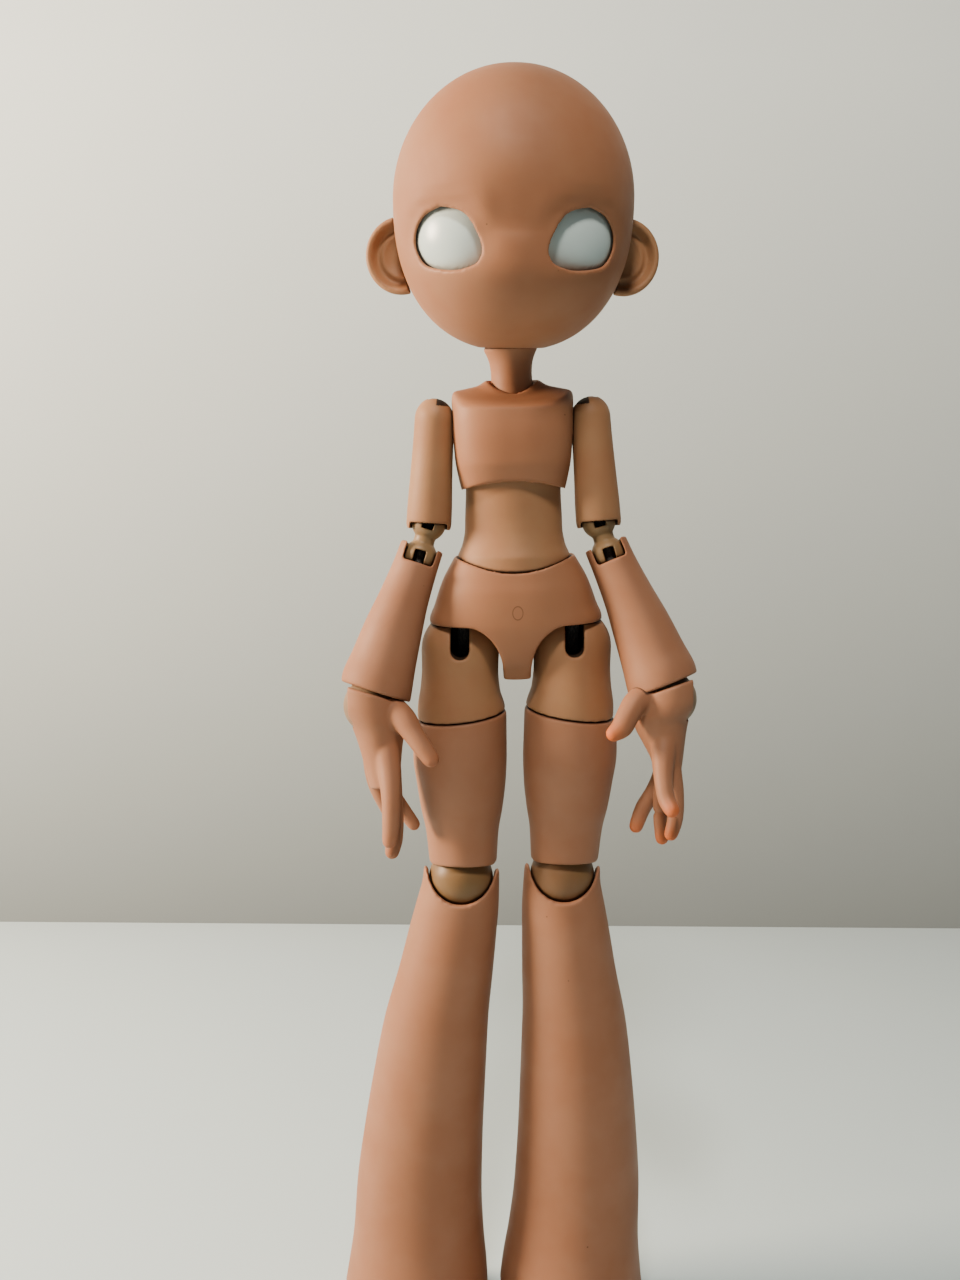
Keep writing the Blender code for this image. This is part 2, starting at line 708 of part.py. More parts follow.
def build_waist(pelvis):
    """Makes the waist: a rounded foot in the pelvis cup and a dome inside the chest."""
    rings = []
    bottom = CHEST_JOINT_ABOVE_WAIST - WAIST_HEIGHT
    for up, half, front, back in WAIST_ROW_SHARES:
        half_width = half * WAIST_WIDTH
        height = bottom + up * WAIST_HEIGHT
        rings.append(ring(LEFT, height, half_width, half_width, front * WAIST_DEPTH, back * WAIST_DEPTH,
                          count=HEAD_SEGMENTS))
    ellipsoid = (WAIST_WIDTH / 2, WAIST_DEPTH / 2, WAIST_DOME_HEIGHT)
    top = seat(rings[0], (0.0, 0.0, CHEST_JOINT_ABOVE_WAIST), ellipsoid, 1, 0.0, LEFT, FINE_SEAT_SHARES)
    sphere = (WAIST_SEAT_RADIUS, WAIST_SEAT_RADIUS, WAIST_SEAT_RADIUS)
    foot = seat(rings[-1], (0.0, 0.0, 0.0), sphere, -1, 0.0)
    shape = loft(list(reversed(top[1:-1])) + rings[:-1] + foot[:-1])
    place = (0.0, 0.0, WAIST_JOINT_ABOVE_HIPS)
    waist = add_object("waist", shape, pelvis, place, WAIST_LEAN, "resin_light")
    reach = WAIST_SEAT_RADIUS + OVERRUN
    cut(waist, rod((0.0, 0.0, -reach), (0.0, 0.0, reach), TRUNK_BORE_RADIUS, SEGMENTS // 2), "bore")
    low = -WAIST_SEAT_RADIUS + 2 * GAP
    high = CHEST_JOINT_ABOVE_WAIST + WAIST_DOME_HEIGHT - 4 * GAP
    add_strands("cord_waist", waist, low, high)
    return waist


def add_strands(name, parent, low, high):
    """Makes an upright stretch of the doubled cord."""
    strands = [rod((x, 0.0, low), (x, 0.0, high), CORD_RADIUS) for x in (-STRAND_ASIDE, STRAND_ASIDE)]
    cord = add_object(name, strands[0], parent, finish="cord_black")
    fuse(cord, strands[1], "second_strand")


def build_chest(waist):
    """Makes the chest: waist socket below, neck collar above and a shoulder cup at each side."""
    rings = []
    for up, half, front, back in CHEST_ROW_SHARES:
        half_width = half * CHEST_WIDTH
        points = ring(
            LEFT, up * CHEST_HEIGHT - CHEST_BELOW_JOINT, half_width, half_width,
            front * CHEST_DEPTH, back * CHEST_DEPTH, 0.0, CHEST_POWER,
        )
        if up == 0.0:
            for point in points:
                across = 1.0 - (point.x / half_width) ** 2
                point.z += CHEST_FRONT_ARCH * max(0.0, across)
        rings.append(points)
    place = (0.0, 0.0, CHEST_JOINT_ABOVE_WAIST)
    chest = add_object("chest", loft(rings), waist, place, 0.0, "resin_face")
    spread = (WAIST_WIDTH / 2 + GAP, WAIST_DEPTH / 2 + GAP, WAIST_DOME_HEIGHT + GAP)
    skirt = ring(LEFT, -CHEST_HEIGHT, spread[0], spread[0], spread[1], spread[1], count=HEAD_SEGMENTS)
    edge = ring(LEFT, 0.0, spread[0], spread[0], spread[1], spread[1], count=HEAD_SEGMENTS)
    dome = seat(edge, (0.0, 0.0, 0.0), spread, 1, GAP, LEFT, FINE_SEAT_SHARES)
    cut(chest, loft([skirt, *dome]), "waist_socket")
    cut(chest, ball(NECK_BALL_RADIUS + GAP, (0.0, 0.0, NECK_JOINT_ABOVE_CHEST)), "neck_collar")
    bore = rod((0.0, 0.0, 0.0), (0.0, 0.0, NECK_JOINT_ABOVE_CHEST), TRUNK_BORE_RADIUS, SEGMENTS // 2)
    cut(chest, bore, "trunk_bore")
    reach = SHOULDER_ASIDE
    shoulders = SHOULDER_ABOVE_CHEST_JOINT
    route = arm_cord_route(reach)
    cut(chest, tube(route, [ARM_BORE_RADIUS] * len(route), BORE_SEGMENTS), "arm_bore")
    for label, side in SIDES.items():
        cut(chest, ball(SHOULDER_RADIUS + GAP, (side * reach, 0.0, shoulders)), f"shoulder_cup_{label}")
    high = NECK_JOINT_ABOVE_CHEST - NECK_BALL_RADIUS - 2 * GAP
    add_strands("cord_chest", chest, WAIST_DOME_HEIGHT + 2 * GAP, high)
    route = arm_cord_route(reach - SHOULDER_RADIUS - 2 * GAP - ARM_CORD_RADIUS)
    cord = tube(route, [ARM_CORD_RADIUS] * len(route))
    add_object("cord_arms", cord, chest, finish="cord_black")
    return chest


def arm_cord_route(reach):
    """Returns the way of the arm cord through the chest, behind the trunk cord."""
    behind = CORD_RADIUS + ARM_CORD_RADIUS + ARM_CORD_CLEARANCE
    level = SHOULDER_ABOVE_CHEST_JOINT
    points = []
    for share, depth in ARM_CORD_ROUTE_SHARES:
        points.append(Vector((share * SHOULDER_ASIDE, depth * behind, level)))
    for end, inner in ((0, 1), (-1, -2)):
        run = points[end] - points[inner]
        points[end] = points[inner] + run * ((reach - abs(points[inner].x)) / abs(run.x))
    return points


def build_neck(chest):
    """Makes the neck: a ball foot in the collar, a slim stem and a flared cup with a domed top."""
    outline = circle(0.0, NECK_BALL_RADIUS)
    sphere = (NECK_BALL_RADIUS, NECK_BALL_RADIUS, NECK_BALL_RADIUS)
    foot = seat(outline, (0.0, 0.0, 0.0), sphere, -1, NECK_BORE_RADIUS)
    stem = [circle(up * NECK_HEIGHT, half * NECK_WIDTH) for up, half in NECK_ROW_SHARES]
    dome = (HEAD_SEAT_RADIUS, HEAD_SEAT_RADIUS, HEAD_SEAT_RADIUS)
    rim = circle(0.0, NECK_ROW_SHARES[-1][1] * NECK_WIDTH - GAP)
    top = seat(rim, (0.0, 0.0, HEAD_JOINT_ABOVE_NECK), dome, 1, NECK_MOUTH_RADIUS)
    throat = circle(HEAD_JOINT_ABOVE_NECK, NECK_BORE_RADIUS)
    shape = loft(list(reversed(foot)) + stem + top + [throat], closed=True)
    place = (0.0, 0.0, NECK_JOINT_ABOVE_CHEST)
    return add_object("neck", shape, chest, place, NECK_LEAN, "resin_face")


def build_neck_hook(neck):
    """Makes the steel hook: a bar across the head's floor, a shank down the neck and a bend for the cord."""
    joint = add_empty("head_joint", neck, (0.0, 0.0, HEAD_JOINT_ABOVE_NECK), HEAD_LEAN)
    bar = HEAD_FLOOR_ABOVE_JOINT + GAP + WIRE_RADIUS
    half = 2 * HEAD_HOLE_RADIUS
    bend = 2 * WIRE_RADIUS
    foot = -HEAD_JOINT_ABOVE_NECK / 2
    points = [Vector((half, 0.0, bar)), Vector((0.0, 0.0, bar))]
    points += arc((0.0, 0.0, bar - bend), bend, 120.0, 180.0, 2)
    points += arc((0.0, 0.0, foot), bend, 180.0, 360.0, 6)
    points += [Vector((bend, 0.0, foot + bend))]
    return wire("neck_hook", points, WIRE_RADIUS, joint, "steel_wire")


def head_ring(angle_degrees, grow, swell=0.0):
    """Returns one cross-section of the egg-shaped head at a latitude, grown or shrunk by a wall."""
    angle = math.radians(angle_degrees)
    half_x = HEAD_WIDTH / 2 + grow
    half_y = HEAD_DEPTH / 2 + grow
    if angle_degrees >= 0:
        share = math.cos(angle)
        height = (HEAD_ABOVE_EQUATOR + grow) * math.sin(angle)
    else:
        share = super_power(math.cos(angle), HEAD_LOWER_POWER)
        height = (HEAD_BELOW_EQUATOR + grow) * super_power(math.sin(angle), HEAD_LOWER_POWER)
    points = ring(
        LEFT, HEAD_EQUATOR_ABOVE_JOINT + height, half_x * share, half_x * share,
        half_y * share + HEAD_FORWARD, half_y * share - HEAD_FORWARD, 0.0, HEAD_POWER, HEAD_SEGMENTS,
    )
    if swell:
        fall = (height + MUZZLE_BELOW_EQUATOR) / MUZZLE_SPAN
        push = swell * math.exp(-fall * fall)
        for point in points:
            ahead = max(0.0, -(point.y + HEAD_FORWARD) / half_y)
            point.y -= push * ahead
    return points


def head_egg(grow, lowest, swell=0.0):
    """Returns the egg as a closed skin, from its crown down to a height above the joint."""
    count = round(2 * HEAD_POLE / HEAD_STEP)
    angles = [HEAD_POLE - 2 * HEAD_POLE * index / count for index in range(count + 1)]
    rings = [head_ring(angle, grow, swell) for angle in angles]
    kept = [points for points in rings if points[0].z > lowest + GAP]
    if len(kept) < len(rings):
        last = kept[-1]
        kept.append([Vector((p.x, p.y, lowest)) for p in last])
    return loft(kept)


def eye_frame(side):
    """Returns the place and turn of an eye: its local z looks out of the face."""
    upright = Matrix.Rotation(math.radians(90.0 + EYE_TILT), 4, "X")
    turn = Matrix.Rotation(math.radians(side * EYE_TURN), 4, "Z") @ upright
    height = -EYE_BELOW_EQUATOR / HEAD_BELOW_EQUATOR
    across = EYE_ASIDE / (HEAD_WIDTH / 2)
    depth = (HEAD_DEPTH / 2) * math.sqrt(1.0 - across * across - height * height)
    place = Vector((side * EYE_ASIDE, -HEAD_FORWARD - depth, HEAD_EQUATOR_ABOVE_JOINT - EYE_BELOW_EQUATOR))
    return Matrix.Translation(place) @ turn


def eye_opening(side):
    """Returns the egg-shaped punch that opens the face for an eye."""
    outline = smooth_outline(EYE_OUTLINE_SHARES, EYE_WIDTH / 2, EYE_HEIGHT / 2, OUTLINE_SEGMENTS)
    reach = 2 * HEAD_WALL
    rings = [[Vector((side * x, y, height)) for x, y in outline] for height in (-reach, reach)]
    punch = loft(rings)
    bmesh.ops.transform(punch, matrix=eye_frame(side), verts=punch.verts[:])
    return punch


def eye_pocket(side):
    """Returns the dome-shaped recess behind the opening, a gap larger than the eye."""
    radius = EYE_DOME_RADIUS + GAP
    pocket = ball(radius, (0.0, 0.0, -EYE_INSET - EYE_DOME_RADIUS), SEGMENTS)
    bmesh.ops.transform(pocket, matrix=eye_frame(side), verts=pocket.verts[:])
    return pocket


def build_head_shells(joint):
    """Makes the two halves of the hollow head: the face with the neck seat, and the cap behind."""
    split = SPLIT_BEHIND_MIDDLE - HEAD_FORWARD
    shelf = SHELF_ABOVE_JOINT
    wide = HEAD_WIDTH
    tall = 2 * HEAD_WIDTH
    front = add_object("head_front", head_egg(0.0, -tall, MUZZLE_DEPTH), joint, finish="resin_face")
    back = add_object("head_back", head_egg(0.0, -tall), joint, finish="resin_light")
    for shell in (front, back):
        cut(shell, head_egg(-HEAD_WALL, HEAD_FLOOR_ABOVE_JOINT), "cavity")
    crown = HEAD_EQUATOR_ABOVE_JOINT + MAGNET_ABOVE_EQUATOR
    for shell, way in ((front, -1), (back, 1)):
        face = split + way * GAP / 2
        end = face + way * MAGNET_BOSS_DEPTH
        fuse(shell, rod((0.0, face, crown), (0.0, end, crown), MAGNET_BOSS_RADIUS, SEGMENTS // 2), "boss")
        floor = face + way * (MAGNET_THICKNESS + GAP)
        mouth = (0.0, face - way * OVERRUN, crown)
        pocket = rod(mouth, (0.0, floor, crown), MAGNET_RADIUS + GAP, SEGMENTS // 2)
        cut(shell, pocket, "magnet_pocket")
    cut(front, block((-wide, split - GAP / 2, shelf - GAP / 2), (wide, wide, tall)), "cap_room")
    cut(front, ball(HEAD_SEAT_RADIUS + GAP), "neck_seat")
    cut(front, rod((0.0, 0.0, 0.0), (0.0, 0.0, shelf), HEAD_HOLE_RADIUS, SEGMENTS // 2), "hook_hole")
    for label, side in SIDES.items():
        cut(front, eye_opening(side), f"eye_opening_{label}")
        cut(front, eye_pocket(side), f"eye_pocket_{label}")
    cut(back, block((-wide, -wide, -wide), (wide, split + GAP / 2, tall)), "face_room")
    cut(back, block((-wide, -wide, -wide), (wide, wide, shelf + GAP / 2)), "shelf_room")


def build_magnets(joint):
    """Makes the magnet disc of each half of the head."""
    split = SPLIT_BEHIND_MIDDLE - HEAD_FORWARD
    height = HEAD_EQUATOR_ABOVE_JOINT + MAGNET_ABOVE_EQUATOR
    for name, way in (("magnet_front", -1), ("magnet_back", 1)):
        near = split + way * GAP
        far = near + way * (MAGNET_THICKNESS - GAP / 2)
        disc = rod((0.0, near, height), (0.0, far, height), MAGNET_RADIUS, SEGMENTS // 2)
        add_object(name, disc, joint, finish="magnet_plate")


def build_eye(label, side, joint):
    """Makes one blank eye: a dome with a flat back."""
    centre = -EYE_INSET - EYE_DOME_RADIUS
    drop = EYE_DOME_RADIUS - EYE_THICKNESS
    edge = math.sqrt(EYE_DOME_RADIUS ** 2 - drop ** 2)
    radii = (EYE_DOME_RADIUS, EYE_DOME_RADIUS, EYE_DOME_RADIUS)
    dome = seat(circle(0.0, edge), (0.0, 0.0, centre), radii, 1, GAP)
    shape = loft(dome)
    bmesh.ops.transform(shape, matrix=eye_frame(side), verts=shape.verts[:])
    add_object(f"eye_{label}", shape, joint, finish="eye_white")


def build_ear(label, side, joint):
    """Makes one round ear with a hollow front, seated on the side of the cap."""
    rings = []
    for forward, share in EAR_ROW_SHARES:
        half_x = share * EAR_WIDTH / 2
        half_y = share * EAR_HEIGHT / 2
        rings.append(ring(LEFT, forward * EAR_THICKNESS, half_x, half_x, half_y, half_y))
    shape = loft(rings)
    split = SPLIT_BEHIND_MIDDLE - HEAD_FORWARD
    upright = Matrix.Rotation(math.radians(90.0), 4, "X")
    turn = Matrix.Rotation(math.radians(side * EAR_TURN), 4, "Z")
    place = Vector((side * EAR_ASIDE, split + EAR_BEHIND_SPLIT + EAR_THICKNESS / 2,
                    HEAD_EQUATOR_ABOVE_JOINT - EAR_BELOW_EQUATOR))
    bmesh.ops.transform(shape, matrix=Matrix.Translation(place) @ turn @ upright, verts=shape.verts[:])
    ear = add_object(f"ear_{label}", shape, joint, finish="resin_light")
    cut(ear, head_egg(GAP, -HEAD_WIDTH), "head_side")
    wide = HEAD_WIDTH
    cut(ear, block((-wide, -wide, -wide), (wide, split + GAP / 2, 2 * wide)), "face_room")


def build_upper_arm(label, side, chest):
    """Makes one upper arm: slotted shoulder ball, shaft and the upper elbow cup."""
    rings = rows(UPPER_ARM_ROW_SHARES, UPPER_ARM_LENGTH, UPPER_ARM_WIDTH, UPPER_ARM_DEPTH, side)
    sphere = (SHOULDER_RADIUS, SHOULDER_RADIUS, SHOULDER_RADIUS)
    top = seat(rings[0], (0.0, 0.0, 0.0), sphere, 1, ARM_BORE_RADIUS, side)
    cup = ELBOW_RADIUS + GAP
    mouth = circle(0.0, cup * CUP_LIP_SHARE, side)
    throat = seat(mouth, (0.0, 0.0, -UPPER_ARM_LENGTH), (cup, cup, cup), 1, ARM_BORE_RADIUS, side)
    lip = [Vector((p.x, p.y, rings[-1][0].z)) for p in mouth]
    shape = loft(list(reversed(top[1:])) + rings + [lip] + throat, closed=True)
    place = (side * SHOULDER_ASIDE, 0.0, SHOULDER_ABOVE_CHEST_JOINT)
    arm = add_object(f"upper_arm_{label}", shape, chest, place, -side * ARM_LEAN, "resin_light", ARM_SWING)
    half = SHOULDER_SLOT_WIDTH / 2
    reach = SHOULDER_RADIUS + OVERRUN
    cut(arm, block((-side * reach, -half, -half), (side * half, half, reach)), "shoulder_slot")
    notch = ELBOW_NOTCH_WIDTH / 2
    foot = -UPPER_ARM_LENGTH - ELBOW_RADIUS
    cut(arm, block((-notch, -UPPER_ARM_DEPTH, foot), (notch, 0.0, -UPPER_ARM_LENGTH + GAP)), "elbow_notch")
    start = -half - ARM_CORD_RADIUS
    end = -UPPER_ARM_LENGTH + ELBOW_RADIUS + 2 * GAP + ARM_CORD_RADIUS
    add_object(f"cord_upper_arm_{label}", rod((0.0, 0.0, start), (0.0, 0.0, end), ARM_CORD_RADIUS), arm,
               finish="cord_black")
    return arm


def build_shoulder_cord(label, side, chest):
    """Makes the stub of cord that crosses the shoulder ball."""
    joint = add_empty(f"shoulder_{label}", chest, (side * SHOULDER_ASIDE, 0.0, SHOULDER_ABOVE_CHEST_JOINT))
    out = side * (SHOULDER_RADIUS - 2 * GAP)
    cord = rod((-out, 0.0, 0.0), (side * ARM_CORD_RADIUS, 0.0, 0.0), ARM_CORD_RADIUS)
    add_object(f"cord_shoulder_{label}", cord, joint, finish="cord_black")


def belt(radius, level, way, limit, side):
    """Returns rings of a ball between its middle and the neck of its link."""
    rings = []
    for angle in LINK_BELT_ANGLES:
        rise = radius * math.sin(math.radians(angle))
        if rise < limit - GAP:
            rings.append(circle(level + way * rise, radius * math.cos(math.radians(angle)), side))
    return rings


def link_shape(side, upper, lower, spacing, hole):
    """Returns a link of two balls, one above the other, with a bore through both."""
    meet = (spacing * spacing + upper * upper - lower * lower) / (2 * spacing)
    waist = math.sqrt(max(0.0, upper * upper - meet * meet)) if meet < upper else hole
    neck = max(waist, LINK_NECK_SHARE * min(upper, lower))
    top_neck = -math.sqrt(upper * upper - neck * neck)
    low_neck = -spacing + math.sqrt(lower * lower - neck * neck)
    over = seat(circle(0.0, upper, side), (0.0, 0.0, 0.0), (upper, upper, upper), 1, hole, side)
    under = seat(circle(0.0, lower, side), (0.0, 0.0, -spacing), (lower, lower, lower), -1, hole, side)
    rings = list(reversed(over)) + belt(upper, 0.0, -1, -top_neck, side)
    rings.append(circle(top_neck, neck, side))
    if low_neck < top_neck - GAP:
        rings.append(circle(low_neck, neck, side))
    rings += list(reversed(belt(lower, -spacing, 1, low_neck + spacing, side)))
    return loft(rings + under, closed=True)


def build_elbow_link(label, side, arm):
    """Makes one double elbow link with an open slot at the front of each ball."""
    shape = link_shape(side, ELBOW_RADIUS, ELBOW_RADIUS, ELBOW_SPACING, ARM_BORE_RADIUS)
    place = (0.0, 0.0, -UPPER_ARM_LENGTH)
    link = add_object(f"elbow_link_{label}", shape, arm, place, -side * LINK_LEAN, "resin_link", LINK_SWING)
    half = ELBOW_SLOT_WIDTH / 2
    reach = ELBOW_RADIUS + OVERRUN
    cut(link, block((-half, -reach, -half), (half, half, reach)), "upper_slot")
    lower = -ELBOW_SPACING
    cut(link, block((-half, -reach, lower - reach), (half, half, lower + half)), "lower_slot")
    run = ELBOW_RADIUS - 3 * GAP
    cord = rod((0.0, 0.0, run), (0.0, 0.0, lower - run), ARM_CORD_RADIUS)
    add_object(f"cord_elbow_{label}", cord, link, finish="cord_black")
    return link


def build_forearm(label, side, link):
    """Makes one flared forearm: lobes round the elbow link, a bore and a wide cuff for the wrist ball."""
    rings = rows(FOREARM_ROW_SHARES, FOREARM_LENGTH, FOREARM_WIDTH, FOREARM_DEPTH, side)
    top = rings[0][0].z
    cup = ELBOW_RADIUS + GAP
    lip = [Vector((p.x, p.y, top)) for p in circle(0.0, cup * CUP_LIP_SHARE, side)]
    throat = seat(lip, (0.0, 0.0, 0.0), (cup, cup, cup), -1, ARM_BORE_RADIUS, side)
    wrist = WRIST_RADIUS + GAP
    centre_z = -FOREARM_LENGTH - WRIST_BEYOND_CUFF
    open_radius = math.sqrt(wrist * wrist - WRIST_BEYOND_CUFF ** 2)
    mouth = circle(0.0, open_radius, side, (WRIST_OUTWARD, 0.0))
    middle = (side * WRIST_OUTWARD, 0.0, centre_z)
    cuff = seat(mouth, middle, (wrist, wrist, wrist), 1, ARM_BORE_RADIUS, side)
    shape = loft(list(reversed(throat)) + [lip] + rings + cuff, closed=True)
    lean = -side * (FOREARM_LEANS[side] - LINK_LEAN)
    place = (0.0, 0.0, -ELBOW_SPACING)
    forearm = add_object(f"forearm_{label}", shape, link, place, lean, "resin_limb", FOREARM_SWING)
    front = FOREARM_DEPTH
    half, drop = [share * ELBOW_RADIUS for share in FOREARM_NOTCH_SHARES]
    cut(forearm, block((-half, -front, -drop), (half, 0.0, front)), "front_notch")
    start = -ELBOW_RADIUS - 2 * GAP - ARM_CORD_RADIUS
    end = centre_z + WRIST_RADIUS + 2 * GAP + ARM_CORD_RADIUS
    add_object(f"cord_forearm_{label}", rod((0.0, 0.0, start), (0.0, 0.0, end), ARM_CORD_RADIUS), forearm,
               finish="cord_black")
    return forearm


def build_wrist(label, side, forearm):
    """Makes one wrist ball with its bore, and the steel hook inside it."""
    place = (side * WRIST_OUTWARD, 0.0, -FOREARM_LENGTH - WRIST_BEYOND_CUFF)
    sphere = (WRIST_RADIUS, WRIST_RADIUS, WRIST_RADIUS)
    outline = circle(0.0, WRIST_RADIUS, side)
    upper = seat(outline, (0.0, 0.0, 0.0), sphere, 1, ARM_BORE_RADIUS, side)
    lower = seat(outline, (0.0, 0.0, 0.0), sphere, -1, ARM_BORE_RADIUS, side)
    shape = loft(list(reversed(upper)) + lower[1:], closed=True)
    wrist = add_object(f"wrist_ball_{label}", shape, forearm, place, 0.0, "resin_link")
    bend = ARM_BORE_RADIUS - GAP - WIRE_RADIUS
    reach = WRIST_RADIUS - 4 * WIRE_RADIUS
    points = arc((0.0, 0.0, reach - bend), bend, -30.0, 180.0, 5)
    points += arc((0.0, 0.0, bend - reach), bend, 180.0, 390.0, 6)
    wire(f"hand_hook_{label}", points, WIRE_RADIUS, wrist, "steel_wire")
    return wrist


def finger(side, joints):
    """Returns one finger: a tapering skin along its joints, rounded at the tip."""
    points = [Vector((side * out, -forward, -down)) * HAND_LENGTH for out, forward, down, _ in joints]
    radii = [thick * HAND_LENGTH for _, _, _, thick in joints]
    reach, thickness = FINGERTIP_SHARES
    points.append(points[-1] + (points[-1] - points[-2]).normalized() * radii[-1] * reach)
    radii.append(radii[-1] * thickness)
    return tube(points, radii, FINGER_SEGMENTS)


def build_hand(label, side, wrist):
    """Makes one hand: a cupped palm over the wrist ball, four fingers and a thumb."""
    lean = side * (FOREARM_LEANS[side] + ARM_LEAN)
    rings = []
    for index, (up, inner, outer, front, back) in enumerate(PALM_ROW_SHARES):
        height = up * PALM_HEIGHT - PALM_BELOW_WRIST
        slope = PALM_RIM_SLOPE * up * up
        rings.append(ring(side, height, inner * PALM_WIDTH, outer * PALM_WIDTH, front * PALM_DEPTH,
                          back * PALM_DEPTH, slope))
    hand = add_object(f"hand_{label}", loft(rings), wrist, (0.0, 0.0, 0.0), lean, "resin_limb")
    for name, joints in FINGER_SHARES.items():
        fuse(hand, finger(side, joints), name)
    cut(hand, ball(WRIST_RADIUS + GAP), "wrist_cup")
    reach = 2 * PALM_WIDTH
    low = (side * HAND_SLIT_OUTWARD, -reach, -HAND_SLIT_BELOW)
    cut(hand, block(low, (side * reach, reach, reach)), "outer_slit")
    return hand


def swivel_circle(side, radius, depth, height=0.0):
    """Returns a circle at a depth under the sloped swivel face, about the swivel's own axis."""
    points = circle(0.0, radius, side)
    for point in points:
        point.z = height - depth - side * CUT_SLOPE * point.x
        point.x -= side * CUT_SLOPE * depth
    return points


def build_hip(label, side, pelvis):
    """Makes one upper thigh: slotted hip ball and a flat, slightly sloped swivel face with a spigot."""
    last = len(HIP_ROW_SHARES) - 1
    slopes = {last: -CUT_SLOPE, last - 1: -CUT_SLOPE / 2}
    rings = rows(HIP_ROW_SHARES, HIP_LENGTH, HIP_WIDTH, HIP_DEPTH, side, slopes)
    sphere = (HIP_RADIUS, HIP_RADIUS, HIP_RADIUS)
    top = seat(rings[0], (0.0, 0.0, 0.0), sphere, 1, BORE_RADIUS, side)
    steps = ((SPIGOT_RADIUS, 0.0), (SPIGOT_RADIUS, SPIGOT_HEIGHT), (BORE_RADIUS, SPIGOT_HEIGHT))
    spigot = [swivel_circle(side, radius, depth, -HIP_LENGTH) for radius, depth in steps]
    shape = loft(list(reversed(top[1:])) + rings + spigot, closed=True)
    place = (side * HIP_ASIDE, 0.0, 0.0)
    hip = add_object(f"hip_{label}", shape, pelvis, place, -PELVIS_LEAN, "resin_light")
    half = HIP_SLOT_WIDTH / 2
    reach = HIP_RADIUS + OVERRUN
    foot = -HIP_SLOT_BELOW + half
    cut(hip, block((-half, -reach, foot), (half, half, reach)), "slot")
    cut(hip, rod((0.0, -reach, foot), (0.0, 0.0, foot), half, SEGMENTS // 2), "slot_end")
    cord_top = foot - half - CORD_RADIUS
    cord = rod((0.0, 0.0, cord_top), (0.0, 0.0, -HIP_LENGTH - SPIGOT_HEIGHT + 2 * GAP), CORD_RADIUS)
    add_object(f"cord_hip_{label}", cord, hip, finish="cord_black")
    return hip


def build_hip_stub(label, side, pelvis):
    """Makes the stub of cord that stands in the hip ball's slot."""
    joint = add_empty(f"hip_joint_{label}", pelvis, (side * HIP_ASIDE, 0.0, 0.0), -PELVIS_LEAN)
    cord = rod((0.0, 0.0, -HIP_SLOT_BELOW), (0.0, 0.0, HIP_RADIUS - 2 * GAP), CORD_RADIUS)
    add_object(f"cord_hip_slot_{label}", cord, joint, finish="cord_black")


def build_thigh(label, side, hip):
    """Makes one thigh: swivel face with a recess for the spigot above, knee cup below."""
    rings = rows(THIGH_ROW_SHARES, THIGH_LENGTH, THIGH_WIDTH, THIGH_DEPTH, side,
                 {0: -CUT_SLOPE, 1: -CUT_SLOPE, 2: -CUT_SLOPE / 2})
    for points in rings[:1]:
        for point in points:
            point.z -= GAP
    recess = SPIGOT_RADIUS + GAP
    floor = SPIGOT_HEIGHT + 2 * GAP
    well = [
        swivel_circle(side, radius, depth)
        for radius, depth in ((BORE_RADIUS, floor), (recess, floor), (recess, GAP))
    ]
    cup = KNEE_UPPER_RADIUS + GAP
    centre = (-side * KNEE_INWARD, 0.0, -THIGH_LENGTH)
    ring_mouth = circle(0.0, cup * KNEE_LIP_SHARE, side, (-KNEE_INWARD, 0.0))
    lip = [Vector((p.x, p.y, rings[-1][0].z)) for p in ring_mouth]
    throat = seat(ring_mouth, centre, (cup, cup, cup), 1, BORE_RADIUS, side)
    shape = loft(well + rings + [lip] + throat, closed=True)
    thigh = add_object(f"thigh_{label}", shape, hip, (0.0, 0.0, -HIP_LENGTH), 0.0, "resin_limb")
    depth = THIGH_DEPTH / 2
    knee = -THIGH_LENGTH
    low = knee - 2 * KNEE_UPPER_RADIUS
    outline = [(-depth, low)]
    outline += [(back * depth, knee + up * depth) for back, up in KNEE_SCOOP_SHARES]
    outline.append((2 * depth, low))
    cut(thigh, prism(outline, THIGH_WIDTH, "X"), "knee_scoop")
    end = (-side * KNEE_INWARD, 0.0, knee + KNEE_UPPER_RADIUS + 2 * GAP)
    cord = rod((0.0, 0.0, -floor), end, CORD_RADIUS)
    add_object(f"cord_thigh_{label}", cord, thigh, finish="cord_black")
    return thigh


def build_knee_link(label, side, thigh):
    """Makes one double knee link."""
    shape = link_shape(side, KNEE_UPPER_RADIUS, KNEE_LOWER_RADIUS, KNEE_SPACING, BORE_RADIUS)
    place = (-side * KNEE_INWARD, 0.0, -THIGH_LENGTH)
    link = add_object(f"knee_link_{label}", shape, thigh, place, KNEE_LEAN, "resin_link")
    top = KNEE_UPPER_RADIUS - 2 * GAP
    bottom = -KNEE_SPACING - KNEE_LOWER_RADIUS + 2 * GAP
    cord = rod((0.0, 0.0, top), (0.0, 0.0, bottom), CORD_RADIUS)
    add_object(f"cord_knee_{label}", cord, link, finish="cord_black")
    return link


